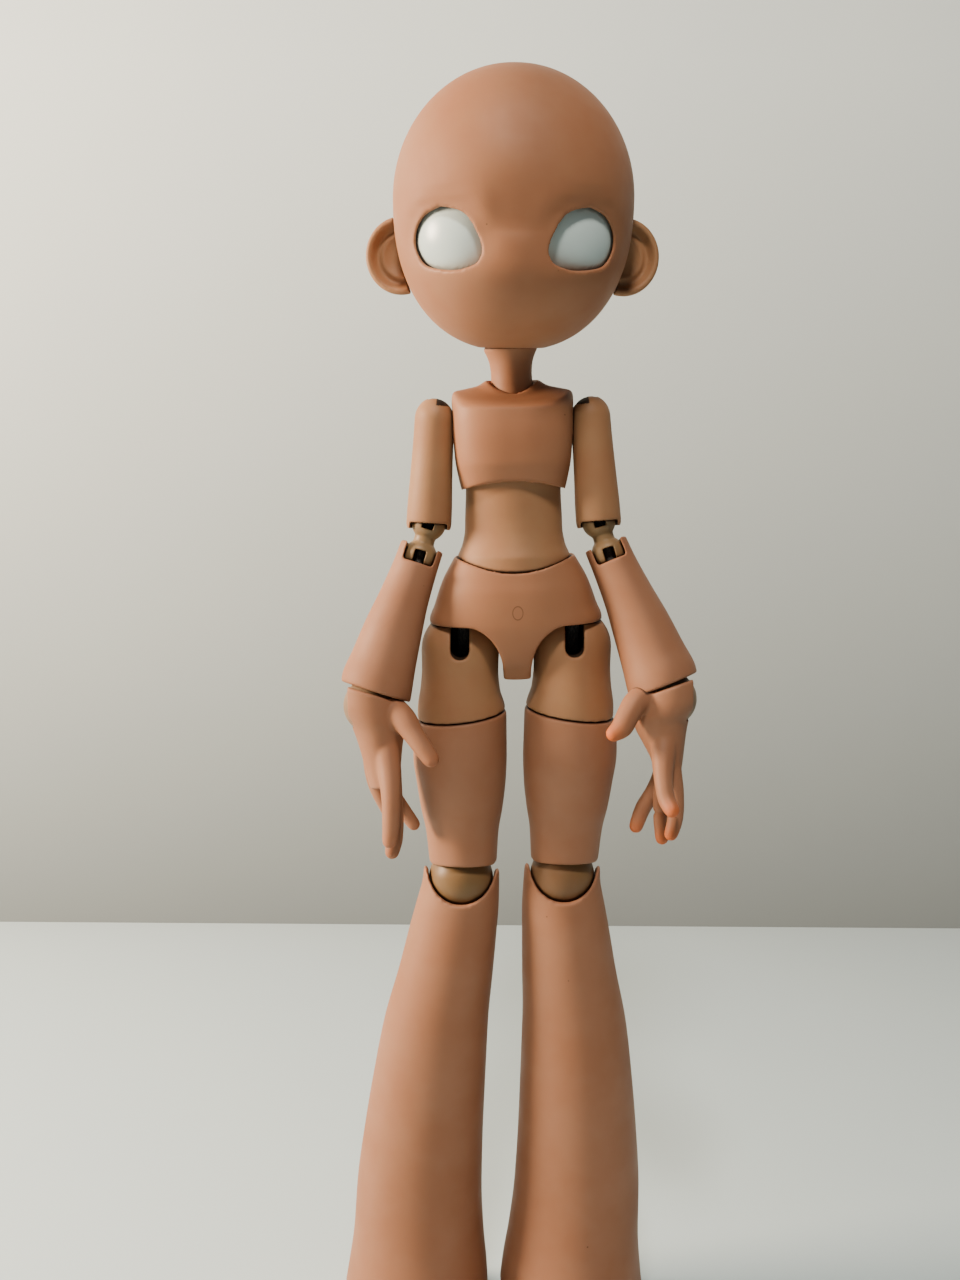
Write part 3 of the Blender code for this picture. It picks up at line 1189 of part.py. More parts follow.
def build_shin(label, side, link):
    """Makes one bell-shaped shin: a scooped knee cup above, a rounded hem that rests in the foot below."""
    rings = rows(SHIN_ROW_SHARES, SHIN_DROP, SHIN_WIDTH, SHIN_DEPTH, side)
    cup = KNEE_LOWER_RADIUS + GAP
    mouth = circle(0.0, cup * CUP_LIP_SHARE, side)
    lip = [Vector((p.x, p.y, rings[0][0].z)) for p in mouth]
    throat = seat(mouth, (0.0, 0.0, 0.0), (cup, cup, cup), -1, BORE_RADIUS, side)
    reach = ANKLE_SEAT_RADIUS
    ankle = Vector((side * ANKLE_OUTWARD, 0.0, -SHIN_LENGTH))
    hem = seat(rings[-1], ankle, (reach, reach, reach), -1, BORE_RADIUS, side)
    shape = loft(list(reversed(throat)) + [lip] + rings[:-1] + hem, closed=True)
    lean = SHIN_LEAN - KNEE_LEAN
    shin = add_object(f"shin_{label}", shape, link, (0.0, 0.0, -KNEE_SPACING), lean, "resin_limb")
    saddle = KNEE_LOWER_RADIUS + 2 * GAP
    rise = saddle - KNEE_SADDLE_SHARE * KNEE_LOWER_RADIUS
    cut(shin, rod((0.0, -SHIN_DEPTH, rise), (0.0, SHIN_DEPTH, rise), saddle, SEGMENTS), "saddle")
    outline = [(back * KNEE_LOWER_RADIUS, up * KNEE_LOWER_RADIUS) for back, up in KNEE_HOLLOW_SHARES]
    cut(shin, prism(outline, SHIN_WIDTH, "X"), "knee_hollow")
    start = Vector((0.0, 0.0, -KNEE_LOWER_RADIUS - 2 * GAP))
    end = Vector((ankle.x, 0.0, ankle.z - ANKLE_SEAT_RADIUS + 2 * GAP))
    inset = (end - start).normalized() * CORD_RADIUS
    cord = rod(start + inset, end - inset, CORD_RADIUS)
    add_object(f"cord_shin_{label}", cord, shin, finish="cord_black")
    return shin


def sole_drop(side):
    """Returns how far the sole lies below the ankle centre of one leg, so that both soles meet the floor."""
    hip_rise = HIP_ASIDE * math.sin(math.radians(-PELVIS_LEAN))
    ankle_drop = ANKLE_OUTWARD * math.sin(math.radians(SHIN_LEAN))
    return ANKLE_HEIGHT + side * (hip_rise - ankle_drop)


def build_foot(label, side, shin):
    """Makes one foot: a flat sole, a rounded toe and a wide dish that carries the shin."""
    sole = -sole_drop(side)
    rings = []
    for up, inner, outer, front, back in FOOT_ROW_SHARES:
        spans = (inner * FOOT_WIDTH, outer * FOOT_WIDTH, front * FOOT_LENGTH, back * FOOT_LENGTH)
        rings.append(ring(side, sole + up * FOOT_RIM_HEIGHT, *spans, 0.0, FOOT_POWER))
    dish = ANKLE_SEAT_RADIUS + GAP
    share = SHIN_ROW_SHARES[-1]
    middle = ANKLE_OUTWARD
    edge = ring(side, 0.0, share[1] * SHIN_WIDTH + middle, share[2] * SHIN_WIDTH - middle,
                share[3] * SHIN_DEPTH, share[4] * SHIN_DEPTH)
    top = seat(edge, (0.0, 0.0, 0.0), (dish, dish, dish), -1, WELL_RADIUS, side)
    floor = -dish - WELL_DEPTH
    well = [Vector((p.x, p.y, floor)) for p in circle(0.0, WELL_RADIUS, side)]
    shape = loft([*rings, *top, well])
    place = (side * ANKLE_OUTWARD, 0.0, -SHIN_LENGTH)
    foot = add_object(f"foot_{label}", shape, shin, place, -SHIN_LEAN, "resin_limb")
    loop = WELL_RADIUS - GAP - WIRE_RADIUS
    low = floor + GAP + WIRE_RADIUS
    points = [Vector((-loop, 0.0, low))] + arc((0.0, 0.0, low + loop / 4), loop, 180.0, 0.0, 6)
    points += [Vector((loop, 0.0, low))]
    wire(f"foot_hook_{label}", points, WIRE_RADIUS, foot, "steel_wire")
    return foot


def build_arm(label, side, chest):
    """Builds one arm from the shoulder to the fingertips."""
    build_shoulder_cord(label, side, chest)
    arm = build_upper_arm(label, side, chest)
    link = build_elbow_link(label, side, arm)
    forearm = build_forearm(label, side, link)
    wrist = build_wrist(label, side, forearm)
    build_hand(label, side, wrist)


def build_leg(label, side, pelvis):
    """Builds one leg from the hip to the sole."""
    build_hip_stub(label, side, pelvis)
    hip = build_hip(label, side, pelvis)
    thigh = build_thigh(label, side, hip)
    link = build_knee_link(label, side, thigh)
    shin = build_shin(label, side, link)
    build_foot(label, side, shin)


def build_head(neck):
    """Builds the head round the neck hook."""
    hook = build_neck_hook(neck)
    joint = hook.parent
    build_head_shells(joint)
    build_magnets(joint)
    for label, side in SIDES.items():
        build_eye(label, side, joint)
        build_ear(label, side, joint)


def main():
    """Builds the whole doll."""
    clear_scene()
    pelvis = build_pelvis()
    build_pelvis_cord(pelvis)
    waist = build_waist(pelvis)
    chest = build_chest(waist)
    neck = build_neck(chest)
    build_head(neck)
    for label, side in SIDES.items():
        build_arm(label, side, chest)
        build_leg(label, side, pelvis)
    bpy.context.view_layer.update()


main()
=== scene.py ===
"""Looks of the ball jointed doll: smooth cast pieces, braided cord and the studio round them.

Sizes are in millimetres in each piece's own frame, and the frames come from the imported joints.
The doll faces -Y, and +X is the doll's left hand. Limb frames have x outwards, mirrored by side.
"""

import json
import logging
import math
from dataclasses import dataclass, field
from enum import Enum
from typing import Callable, Iterable, Sequence

import bmesh
import bpy
from bmesh.types import BMEdge, BMesh, BMVert
from bpy.types import Material, NodeSocket, Object, ShaderNode, ShaderNodeTree
from mathutils import Euler, Matrix, Vector
from mathutils.bvhtree import BVHTree


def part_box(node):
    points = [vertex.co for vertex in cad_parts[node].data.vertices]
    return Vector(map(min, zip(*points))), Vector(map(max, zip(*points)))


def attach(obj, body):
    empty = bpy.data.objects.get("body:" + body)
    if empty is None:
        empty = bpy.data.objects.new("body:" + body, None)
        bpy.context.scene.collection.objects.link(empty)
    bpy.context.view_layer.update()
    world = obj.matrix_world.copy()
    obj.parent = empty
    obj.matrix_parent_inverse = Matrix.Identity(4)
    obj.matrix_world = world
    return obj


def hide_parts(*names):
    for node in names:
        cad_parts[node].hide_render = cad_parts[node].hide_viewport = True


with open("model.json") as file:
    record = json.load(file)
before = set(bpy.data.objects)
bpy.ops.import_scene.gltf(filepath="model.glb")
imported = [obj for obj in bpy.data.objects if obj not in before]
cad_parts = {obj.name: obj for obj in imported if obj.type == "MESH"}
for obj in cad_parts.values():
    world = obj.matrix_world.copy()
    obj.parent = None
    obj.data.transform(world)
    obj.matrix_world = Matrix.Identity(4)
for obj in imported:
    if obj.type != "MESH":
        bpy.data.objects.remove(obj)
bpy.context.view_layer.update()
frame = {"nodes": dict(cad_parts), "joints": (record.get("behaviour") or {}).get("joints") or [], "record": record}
LOG = logging.getLogger("doll")

MM = 0.001
Row = tuple[float, ...]
Ring = list[Vector]


class Side(Enum):
    """The doll's two sides, by the sign of their x."""

    LEFT = 1
    RIGHT = -1

    @property
    def label(self) -> str:
        """The word that node and body names end in."""
        return self.name.lower()


class Slot(Enum):
    """The record's material slots."""

    FACE = "resin_face"
    LIMB = "resin_limb"
    PALE = "resin_light"
    LINK = "resin_link"
    EYE = "eye"
    CORD = "cord"
    WIRE = "wire"
    MAGNET = "magnet"


def linear(code: str) -> tuple[float, float, float, float]:
    """Turns an sRGB hex colour into linear values.

    Args:
        code: six hex digits, red first.

    Returns:
        Red, green, blue and an alpha of one.
    """
    values = []
    for start in (0, 2, 4):
        share = int(code[start:start + 2], 16) / 255
        values.append(share / 12.92 if share <= 0.04045 else ((share + 0.055) / 1.055) ** 2.4)
    return values[0], values[1], values[2], 1.0


def add_node(tree: ShaderNodeTree, kind: str, values: dict | None = None,
             links: dict[int | str, NodeSocket] | None = None, **settings: object) -> ShaderNode:
    """Adds a shader node.

    Args:
        tree: the material's node tree.
        kind: the node's type name without its "ShaderNode".
        values: input name or number to a constant.
        links: input name or number to the output that feeds it.
        settings: attributes of the node.

    Returns:
        The new node.
    """
    node = tree.nodes.new("ShaderNode" + kind)
    for name, value in settings.items():
        setattr(node, name, value)
    for name, value in (values or {}).items():
        node.inputs[name].default_value = value
    for name, socket in (links or {}).items():
        tree.links.new(socket, node.inputs[name])
    return node


@dataclass(frozen=True)
class Resin:
    """Cast polyurethane resin, sanded and left matt: warm, even, with faint mottle and pits, grime and painted shade in
    the seams, and painted black shade deep in slots and cups.
    """

    name: str
    base: str
    warm: str
    roughness: float = 0.58
    # colour of the pits, of the gate's ring, and of the painted shade and grime in the seams
    grime: str = "2A170D"
    blush: str = "CC5F1C"
    mottle_mm: float = 16.0
    grain_mm: float = 0.9
    pit_spacing_mm: float = 9.0
    pit_mm: float = 0.28
    mark: tuple[float, float, float, float] | None = None

    def material(self) -> Material:
        """Builds the material.

        Returns:
            A Principled material that reads object coordinates and the piece's attributes for seam shade and grime,
            painted black shade and blush.
        """
        material = bpy.data.materials.new(self.name)
        material.use_nodes = True
        tree = material.node_tree
        shader = tree.nodes["Principled BSDF"]
        where = add_node(tree, "TexCoord").outputs["Object"]
        mottle = add_node(tree, "TexNoise", {"Scale": 1 / (self.mottle_mm * MM), "Detail": 3.0}, {"Vector": where})
        spread = add_node(tree, "MapRange", {1: 0.35, 2: 0.65}, {0: mottle.outputs["Fac"]})
        colour = self._blend(tree, spread.outputs[0], linear(self.base), linear(self.warm))
        grain = add_node(tree, "TexNoise", {"Scale": 1 / (self.grain_mm * MM), "Detail": 4.0}, {"Vector": where})
        pits = self._pits(tree, where)
        pitted = add_node(tree, "Math", {1: 0.6}, {0: pits}, operation="MULTIPLY").outputs[0]
        colour = self._blend(tree, pitted, colour, linear(self.grime))
        # blush on the fingertips; painted shade and grime where pieces meet; painted black shade deep in slots and cups
        for attribute, shade, most in (("blush", self.blush, 0.75), ("seam", self.grime, 0.85), ("soot", "060504", 1.0)):
            mark = add_node(tree, "Attribute", attribute_name=attribute).outputs["Fac"]
            amount = add_node(tree, "Math", {1: most}, {0: mark}, operation="MULTIPLY").outputs[0]
            colour = self._blend(tree, amount, colour, linear(shade))
        if self.mark:
            colour = self._blend(tree, self._ring(tree, where), colour, linear(self.grime))
        tree.links.new(colour, shader.inputs["Base Color"])
        polish = add_node(tree, "MapRange", {1: 0.3, 2: 0.7, 3: self.roughness - 0.06, 4: self.roughness + 0.08},
                          {0: mottle.outputs["Fac"]})
        tree.links.new(polish.outputs[0], shader.inputs["Roughness"])
        height = add_node(tree, "Math", {1: -0.5}, {0: pits, 2: grain.outputs["Fac"]}, operation="MULTIPLY_ADD")
        bump = add_node(tree, "Bump", {"Strength": 0.08, "Distance": 0.2 * MM}, {"Height": height.outputs[0]})
        tree.links.new(bump.outputs["Normal"], shader.inputs["Normal"])
        shader.inputs["Specular IOR Level"].default_value = 0.3
        shader.inputs["Subsurface Weight"].default_value = 0.12
        shader.inputs["Subsurface Radius"].default_value = (1.0, 0.45, 0.25)
        shader.inputs["Subsurface Scale"].default_value = 1.4 * MM
        return material

    def _pits(self, tree: ShaderNodeTree, where: NodeSocket) -> NodeSocket:
        """Adds rare pinholes, one to a cell, of which most are left out.

        Args:
            tree: the material's node tree.
            where: the coordinates.

        Returns:
            A mask that is one in a pit.
        """
        cells = add_node(tree, "TexVoronoi", {"Scale": 1 / (self.pit_spacing_mm * MM)}, {"Vector": where})
        size = self.pit_mm / self.pit_spacing_mm
        dots = add_node(tree, "MapRange", {1: size * 0.6, 2: size, 3: 1.0, 4: 0.0}, {0: cells.outputs["Distance"]})
        kept = add_node(tree, "Math", {1: 0.55}, {0: cells.outputs["Color"]}, operation="GREATER_THAN")
        return add_node(tree, "Math", None, {0: dots.outputs[0], 1: kept.outputs[0]}, operation="MULTIPLY").outputs[0]

    def _ring(self, tree: ShaderNodeTree, where: NodeSocket) -> NodeSocket:
        """Adds the faint oval that a casting gate leaves on the front, at the place and half sizes of the mark.

        Args:
            tree: the material's node tree.
            where: the coordinates.

        Returns:
            A mask of the oval's line.
        """
        across, up, wide, tall = self.mark
        middle = add_node(tree, "VectorMath", {1: (across * MM, 0.0, up * MM)}, {0: where}, operation="SUBTRACT")
        scaled = add_node(tree, "VectorMath", {1: (1 / (wide * MM), 0.0, 1 / (tall * MM))},
                          {0: middle.outputs[0]}, operation="MULTIPLY")
        reach = add_node(tree, "VectorMath", None, {0: scaled.outputs[0]}, operation="LENGTH").outputs["Value"]
        line = add_node(tree, "Math", {1: 1.0, 2: 0.1}, {0: reach}, operation="COMPARE").outputs[0]
        front = add_node(tree, "Math", {1: 0.0}, {0: add_node(tree, "SeparateXYZ", None, {0: where}).outputs[1]},
                         operation="LESS_THAN").outputs[0]
        faint = add_node(tree, "Math", {1: 0.45}, {0: front}, operation="MULTIPLY").outputs[0]
        return add_node(tree, "Math", None, {0: line, 1: faint}, operation="MULTIPLY").outputs[0]

    @staticmethod
    def _blend(tree: ShaderNodeTree, amount: NodeSocket, first: NodeSocket | tuple, second: tuple) -> NodeSocket:
        """Mixes two colours.

        Args:
            tree: the material's node tree.
            amount: how much of the second.
            first: a colour or an output.
            second: a colour.

        Returns:
            The mixed colour.
        """
        mix = add_node(tree, "Mix", None, {0: amount}, data_type="RGBA")
        if isinstance(first, NodeSocket):
            tree.links.new(first, mix.inputs[6])
        else:
            mix.inputs[6].default_value = first
        mix.inputs[7].default_value = second
        return mix.outputs[2]


@dataclass(frozen=True)
class Painted:
    """Acrylic paint sealed with a satin coat, as on the blank eyes: white with a cool grey cast."""

    name: str
    base: str
    roughness: float

    def material(self) -> Material:
        """Builds the material, with a very faint unevenness of the brushed coat."""
        material = bpy.data.materials.new(self.name)
        material.use_nodes = True
        tree = material.node_tree
        shader = tree.nodes["Principled BSDF"]
        where = add_node(tree, "TexCoord").outputs["Object"]
        coat = add_node(tree, "TexNoise", {"Scale": 1 / (3 * MM), "Detail": 2.0}, {"Vector": where})
        # painted shade and grime where the eye meets the face
        mark = add_node(tree, "Attribute", attribute_name="seam").outputs["Fac"]
        amount = add_node(tree, "Math", {1: 0.55}, {0: mark}, operation="MULTIPLY").outputs[0]
        mix = add_node(tree, "Mix", None, {0: amount}, data_type="RGBA")
        mix.inputs[6].default_value = linear(self.base)
        mix.inputs[7].default_value = linear("6B5A4E")
        tree.links.new(mix.outputs[2], shader.inputs["Base Color"])
        bump = add_node(tree, "Bump", {"Strength": 0.04, "Distance": 0.2 * MM}, {"Height": coat.outputs["Fac"]})
        tree.links.new(bump.outputs["Normal"], shader.inputs["Normal"])
        shader.inputs["Roughness"].default_value = self.roughness
        return material


@dataclass(frozen=True)
class Braid:
    """Braided elastic: black polyester sleeve over rubber, dull, with a faint sheen along the yarns."""

    name: str = "braided_elastic"
    base: str = "17171A"
    tip: str = "57524D"
    yarn_mm: float = 0.25

    def material(self) -> Material:
        """Builds the material; the yarn is drawn as fine as its own thickness."""
        material = bpy.data.materials.new(self.name)
        material.use_nodes = True
        tree = material.node_tree
        shader = tree.nodes["Principled BSDF"]
        where = add_node(tree, "TexCoord").outputs["Object"]
        yarn = add_node(tree, "TexNoise", {"Scale": 1 / (self.yarn_mm * MM), "Detail": 1.0}, {"Vector": where})
        mix = add_node(tree, "Mix", None, {0: yarn.outputs["Fac"]}, data_type="RGBA")
        mix.inputs[6].default_value = linear(self.base)
        mix.inputs[7].default_value = linear(self.tip)
        tree.links.new(mix.outputs[2], shader.inputs["Base Color"])
        bump = add_node(tree, "Bump", {"Strength": 0.3, "Distance": 0.1 * MM}, {"Height": yarn.outputs["Fac"]})
        tree.links.new(bump.outputs["Normal"], shader.inputs["Normal"])
        shader.inputs["Roughness"].default_value = 0.75
        shader.inputs["Sheen Weight"].default_value = 0.2
        return material


@dataclass(frozen=True)
class Metal:
    """Drawn steel wire or nickel plate: grey, with fine lengthwise marks."""

    name: str
    base: str
    roughness: float
    mark_mm: float = 0.4

    def material(self) -> Material:
        """Builds the material."""
        material = bpy.data.materials.new(self.name)
        material.use_nodes = True
        tree = material.node_tree
        shader = tree.nodes["Principled BSDF"]
        where = add_node(tree, "TexCoord").outputs["Object"]
        marks = add_node(tree, "TexNoise", {"Scale": 1 / (self.mark_mm * MM), "Detail": 3.0}, {"Vector": where})
        polish = add_node(tree, "MapRange", {3: self.roughness - 0.05, 4: self.roughness + 0.1},
                          {0: marks.outputs["Fac"]})
        tree.links.new(polish.outputs[0], shader.inputs["Roughness"])
        shader.inputs["Base Color"].default_value = linear(self.base)
        shader.inputs["Metallic"].default_value = 1.0
        return material


@dataclass(frozen=True)
class Ground:
    """Matt laminate of the table or emulsion of the wall, with a faint unevenness, painted shade towards the wall's
    foot, and clear from behind.
    """

    name: str
    base: str
    tint: str
    roughness: float
    cloud_mm: float
    foot_share: float = 1.0
    fade_mm: float = 420.0

    def material(self) -> Material:
        """Builds the material, with painted shade that may darken it towards the foot of a wall."""
        material = bpy.data.materials.new(self.name)
        material.use_nodes = True
        tree = material.node_tree
        shader = tree.nodes["Principled BSDF"]
        where = add_node(tree, "TexCoord").outputs["Object"]
        cloud = add_node(tree, "TexNoise", {"Scale": 1 / (self.cloud_mm * MM), "Detail": 3.0}, {"Vector": where})
        mix = add_node(tree, "Mix", None, {0: cloud.outputs["Fac"]}, data_type="RGBA")
        mix.inputs[6].default_value = linear(self.base)
        mix.inputs[7].default_value = linear(self.tint)
        # painted shade: the colour darkens towards the foot of the wall, down to the given share at the floor
        height = add_node(tree, "SeparateXYZ", None, {0: where}).outputs[2]
        fade = add_node(tree, "MapRange", {1: 0.0, 2: self.fade_mm * MM, 3: self.foot_share, 4: 1.0}, {0: height})
        shade = add_node(tree, "VectorMath", None, {0: mix.outputs[2], "Scale": fade.outputs[0]}, operation="SCALE")
        tree.links.new(shade.outputs[0], shader.inputs["Base Color"])
        shader.inputs["Roughness"].default_value = self.roughness
        behind = add_node(tree, "NewGeometry").outputs["Backfacing"]
        front = add_node(tree, "Math", {0: 1.0}, {1: behind}, operation="SUBTRACT")
        tree.links.new(front.outputs[0], shader.inputs["Alpha"])
        return material


FACE_RESIN = Resin("face_resin", "946649", "906043").material()
PELVIS_RESIN = Resin("pelvis_resin", "946649", "906043", mark=(-1.25, 210.0, 1.3, 1.7)).material()
LIMB_RESIN = Resin("limb_resin", "93674D", "8E6045").material()
PALE_RESIN = Resin("pale_resin", "946E4E", "906546").material()
LINK_RESIN = Resin("link_resin", "6F5638", "735439", 0.46).material()
BONE_RESIN = Resin("bone_resin", "846C4E", "7C6243", 0.45).material()
WRIST_RESIN = Resin("wrist_resin", "7C6650", "785E46", 0.45).material()
EYE_PAINT = Painted("eye_white_paint", "BCCDCD", 0.32).material()
ELASTIC = Braid().material()
STEEL = Metal("drawn_steel", "B4B5B7", 0.28).material()
NICKEL = Metal("nickel_plate", "C6C4BE", 0.2).material()


def section(side: int, height: float, inner: float, outer: float, front: float, back: float,
            slope: float = 0.0, power: float = 2.0, count: int = 72) -> Ring:
    """Works out the points of one cross-section, a superellipse whose four half sizes may differ.

    Args:
        side: 1 or -1, the sign of outwards.
        height: its height.
        inner: its size towards the doll's middle.
        outer: its size outwards.
        front: its size forwards.
        back: its size backwards.
        slope: the rise of its plane outwards.
        power: 2 for an ellipse, more for a squarer form.
        count: how many points.

    Returns:
        The points in order.
    """
    points = []
    for index in range(count):
        angle = 2 * math.pi * index / count
        across = math.copysign(abs(math.cos(angle)) ** (2 / power), math.cos(angle))
        along = math.copysign(abs(math.sin(angle)) ** (2 / power), math.sin(angle))
        x = (outer - inner) / 2 + (outer + inner) / 2 * across
        y = (back - front) / 2 + (back + front) / 2 * along
        points.append(Vector((side * x, y, height + slope * x)))
    return points


def hoop(radius: float, height: float = 0.0, side: int = 1, middle: tuple[float, float] = (0.0, 0.0),
         count: int = 72) -> Ring:
    """Works out a round cross-section.

    Args:
        radius: its radius.
        height: its height.
        side: the sign of outwards.
        middle: its middle, outwards and backwards.
        count: how many points.

    Returns:
        The points in order.
    """
    points = section(side, height, radius, radius, radius, radius, 0.0, 2.0, count)
    shift = Vector((side * middle[0], middle[1], 0.0))
    return [point + shift for point in points]


def dome(outline: Ring, centre: Vector, radii: Vector, up: int, hole: float, steps: int = 12) -> list[Ring]:
    """Runs rings in from an outline over an ellipsoid to a small round hole.

    Args:
        outline: the outermost ring, whose x and y count.
        centre: the ellipsoid's centre.
        radii: its three radii.
        up: 1 for its upper half, -1 for its lower.
        hole: the hole's radius.
        steps: how many rings.

    Returns:
        The rings, from the outline inwards.
    """
    side = 1 if outline[0].x >= centre.x else -1
    core = [point + Vector((centre.x, centre.y, 0.0)) for point in hoop(hole, 0.0, side, count=len(outline))]
    rings = []
    for step in range(steps + 1):
        share = math.cos(math.pi / 2 * step / steps)
        ring = []
        for edge, inside in zip(outline, core):
            x = inside.x + (edge.x - inside.x) * share
            y = inside.y + (edge.y - inside.y) * share
            fall = ((x - centre.x) / radii.x) ** 2 + ((y - centre.y) / radii.y) ** 2
            ring.append(Vector((x, y, centre.z + up * radii.z * math.sqrt(max(0.0, 1.0 - fall)))))
        rings.append(ring)
    return rings


def dense(rows: Sequence[Row], gap: float) -> list[Row]:
    """Adds rows between rows on a smooth curve that doesn't overshoot.

    Args:
        rows: tuples whose first value runs steadily up or down.
        gap: the most that value may change from row to row.

    Returns:
        The given rows with others between them.
    """
    slopes = []
    for first, second in zip(rows, rows[1:]):
        slopes.append([(b - a) / (second[0] - first[0]) for a, b in zip(first, second)])
    turns = [slopes[0]]
    for before, after in zip(slopes, slopes[1:]):
        turns.append([0.0 if a * b <= 0 else 2 * a * b / (a + b) for a, b in zip(before, after)])
    turns.append(slopes[-1])
    filled = [rows[0]]
    for index, (first, second) in enumerate(zip(rows, rows[1:])):
        span = second[0] - first[0]
        steps = max(1, math.ceil(abs(span) / gap))
        for step in range(1, steps + 1):
            t = step / steps
            stay = 2 * t ** 3 - 3 * t ** 2 + 1
            leave = t ** 3 - 2 * t ** 2 + t
            come = t ** 3 - t ** 2
            values = []
            for a, b, out, into in zip(first, second, turns[index], turns[index + 1]):
                values.append(stay * a + (1 - stay) * b + span * (leave * out + come * into))
            filled.append(tuple(values))
    return filled


def grow(rings: Sequence[Ring], closed: bool = False) -> BMesh:
    """Draws one loop of edges out through the rings, one extrusion to a ring.

    Args:
        rings: the rings in order, with as many points each.
        closed: whether the last ring meets the first; otherwise both ends are filled.

    Returns:
        A closed skin with its faces outwards.
    """
    skin = bmesh.new()
    bmesh.ops.create_circle(skin, segments=len(rings[0]), radius=1.0)
    skin.verts.ensure_lookup_table()
    loop = list(skin.verts)
    start = list(skin.edges)
    edges = start
    for point, vert in zip(rings[0], loop):
        vert.co = point
    for ring in list(rings[1:]) + ([rings[0]] if closed else []):
        grown = bmesh.ops.extrude_edge_only(skin, edges=edges)["geom"]
        edges = [item for item in grown if isinstance(item, BMEdge)]
        fresh = set(item for item in grown if isinstance(item, BMVert))
        step = []
        for vert in loop:
            step.append(next(e.other_vert(vert) for e in vert.link_edges if e.other_vert(vert) in fresh))
        for point, vert in zip(ring, step):
            vert.co = point
        loop = step
    if not closed:
        bmesh.ops.contextual_create(skin, geom=start)
        bmesh.ops.contextual_create(skin, geom=edges)
    bmesh.ops.remove_doubles(skin, verts=skin.verts[:], dist=1e-5)
    bmesh.ops.recalc_face_normals(skin, faces=skin.faces[:])
    return skin


def spine(points: Sequence[Vector], radii: Sequence[float], count: int = 24,
          swell: Callable[[float, float], float] | None = None) -> BMesh:
    """Draws a round skin along points.

    Args:
        points: its middle line.
        radii: its radius at each point.
        count: how many points round it.
        swell: takes the angle and the length so far, and gives a factor on the radius.

    Returns:
        A closed skin.
    """
    rings = []
    way = 0.0
    for index, (point, radius) in enumerate(zip(points, radii)):
        before = points[max(0, index - 1)]
        after = points[min(len(points) - 1, index + 1)]
        way += (point - before).length
        turn = (after - before).to_track_quat("Z", "Y")
        ring = []
        for number, spoke in enumerate(hoop(radius, count=count)):
            factor = swell(2 * math.pi * number / count, way) if swell else 1.0
            ring.append(point + turn @ (spoke * factor))
        rings.append(ring)
    return grow(rings)


def ball(radius: float, centre: Vector = Vector()) -> BMesh:
    """Makes a sphere."""
    skin = bmesh.new()
    bmesh.ops.create_uvsphere(skin, u_segments=72, v_segments=36, radius=radius, matrix=Matrix.Translation(centre))
    return skin


def rod(start: Vector, end: Vector, radius: float, count: int = 48) -> BMesh:
    """Makes a round bar between two points."""
    return spine([start, end], [radius, radius], count)


def block(low: Vector, high: Vector) -> BMesh:
    """Makes a box between two corners, given in any order."""
    skin = bmesh.new()
    size = Vector([abs(a - b) for a, b in zip(low, high)])
    bmesh.ops.create_cube(skin, size=1.0, matrix=Matrix.Translation((low + high) / 2) @ Matrix.Diagonal((*size, 1)))
    return skin


def slab(outline: Sequence[tuple[float, float]], half: float, across: bool) -> BMesh:
    """Draws an outline out both ways.

    Args:
        outline: points of sideways or backwards, and up.
        half: how far it goes each way.
        across: True along X with the outline in Y and Z, False along Y with it in X and Z.

    Returns:
        A closed prism.
    """
    ends = []
    for way in (-half, half):
        ends.append([Vector((way, a, z)) if across else Vector((a, way, z)) for a, z in outline])
    return grow(ends)


def curve_through(points: Sequence[Row], count: int) -> list[Row]:
    """Reads points from a smooth curve through other points.

    Args:
        points: tuples of any values.
        count: how many spans to cut each stretch into.

    Returns:
        The points with others between them.
    """
    filled = []
    last = len(points) - 1
    for index in range(last):
        four = [points[min(last, max(0, index + k))] for k in (-1, 0, 1, 2)]
        for step in range(count):
            t = step / count
            values = []
            for a, b, c, d in zip(*four):
                curve = (2 * a - 5 * b + 4 * c - d) * t * t + (3 * b - a - 3 * c + d) * t ** 3
                values.append((2 * b + (c - a) * t + curve) / 2)
            filled.append(tuple(values))
    filled.append(tuple(points[last]))
    return filled


def make_object(name: str, skin: BMesh) -> Object:
    """Turns a bmesh into an object of the scene."""
    mesh = bpy.data.meshes.new(name)
    skin.to_mesh(mesh)
    skin.free()
    made = bpy.data.objects.new(name, mesh)
    bpy.context.scene.collection.objects.link(made)
    return made


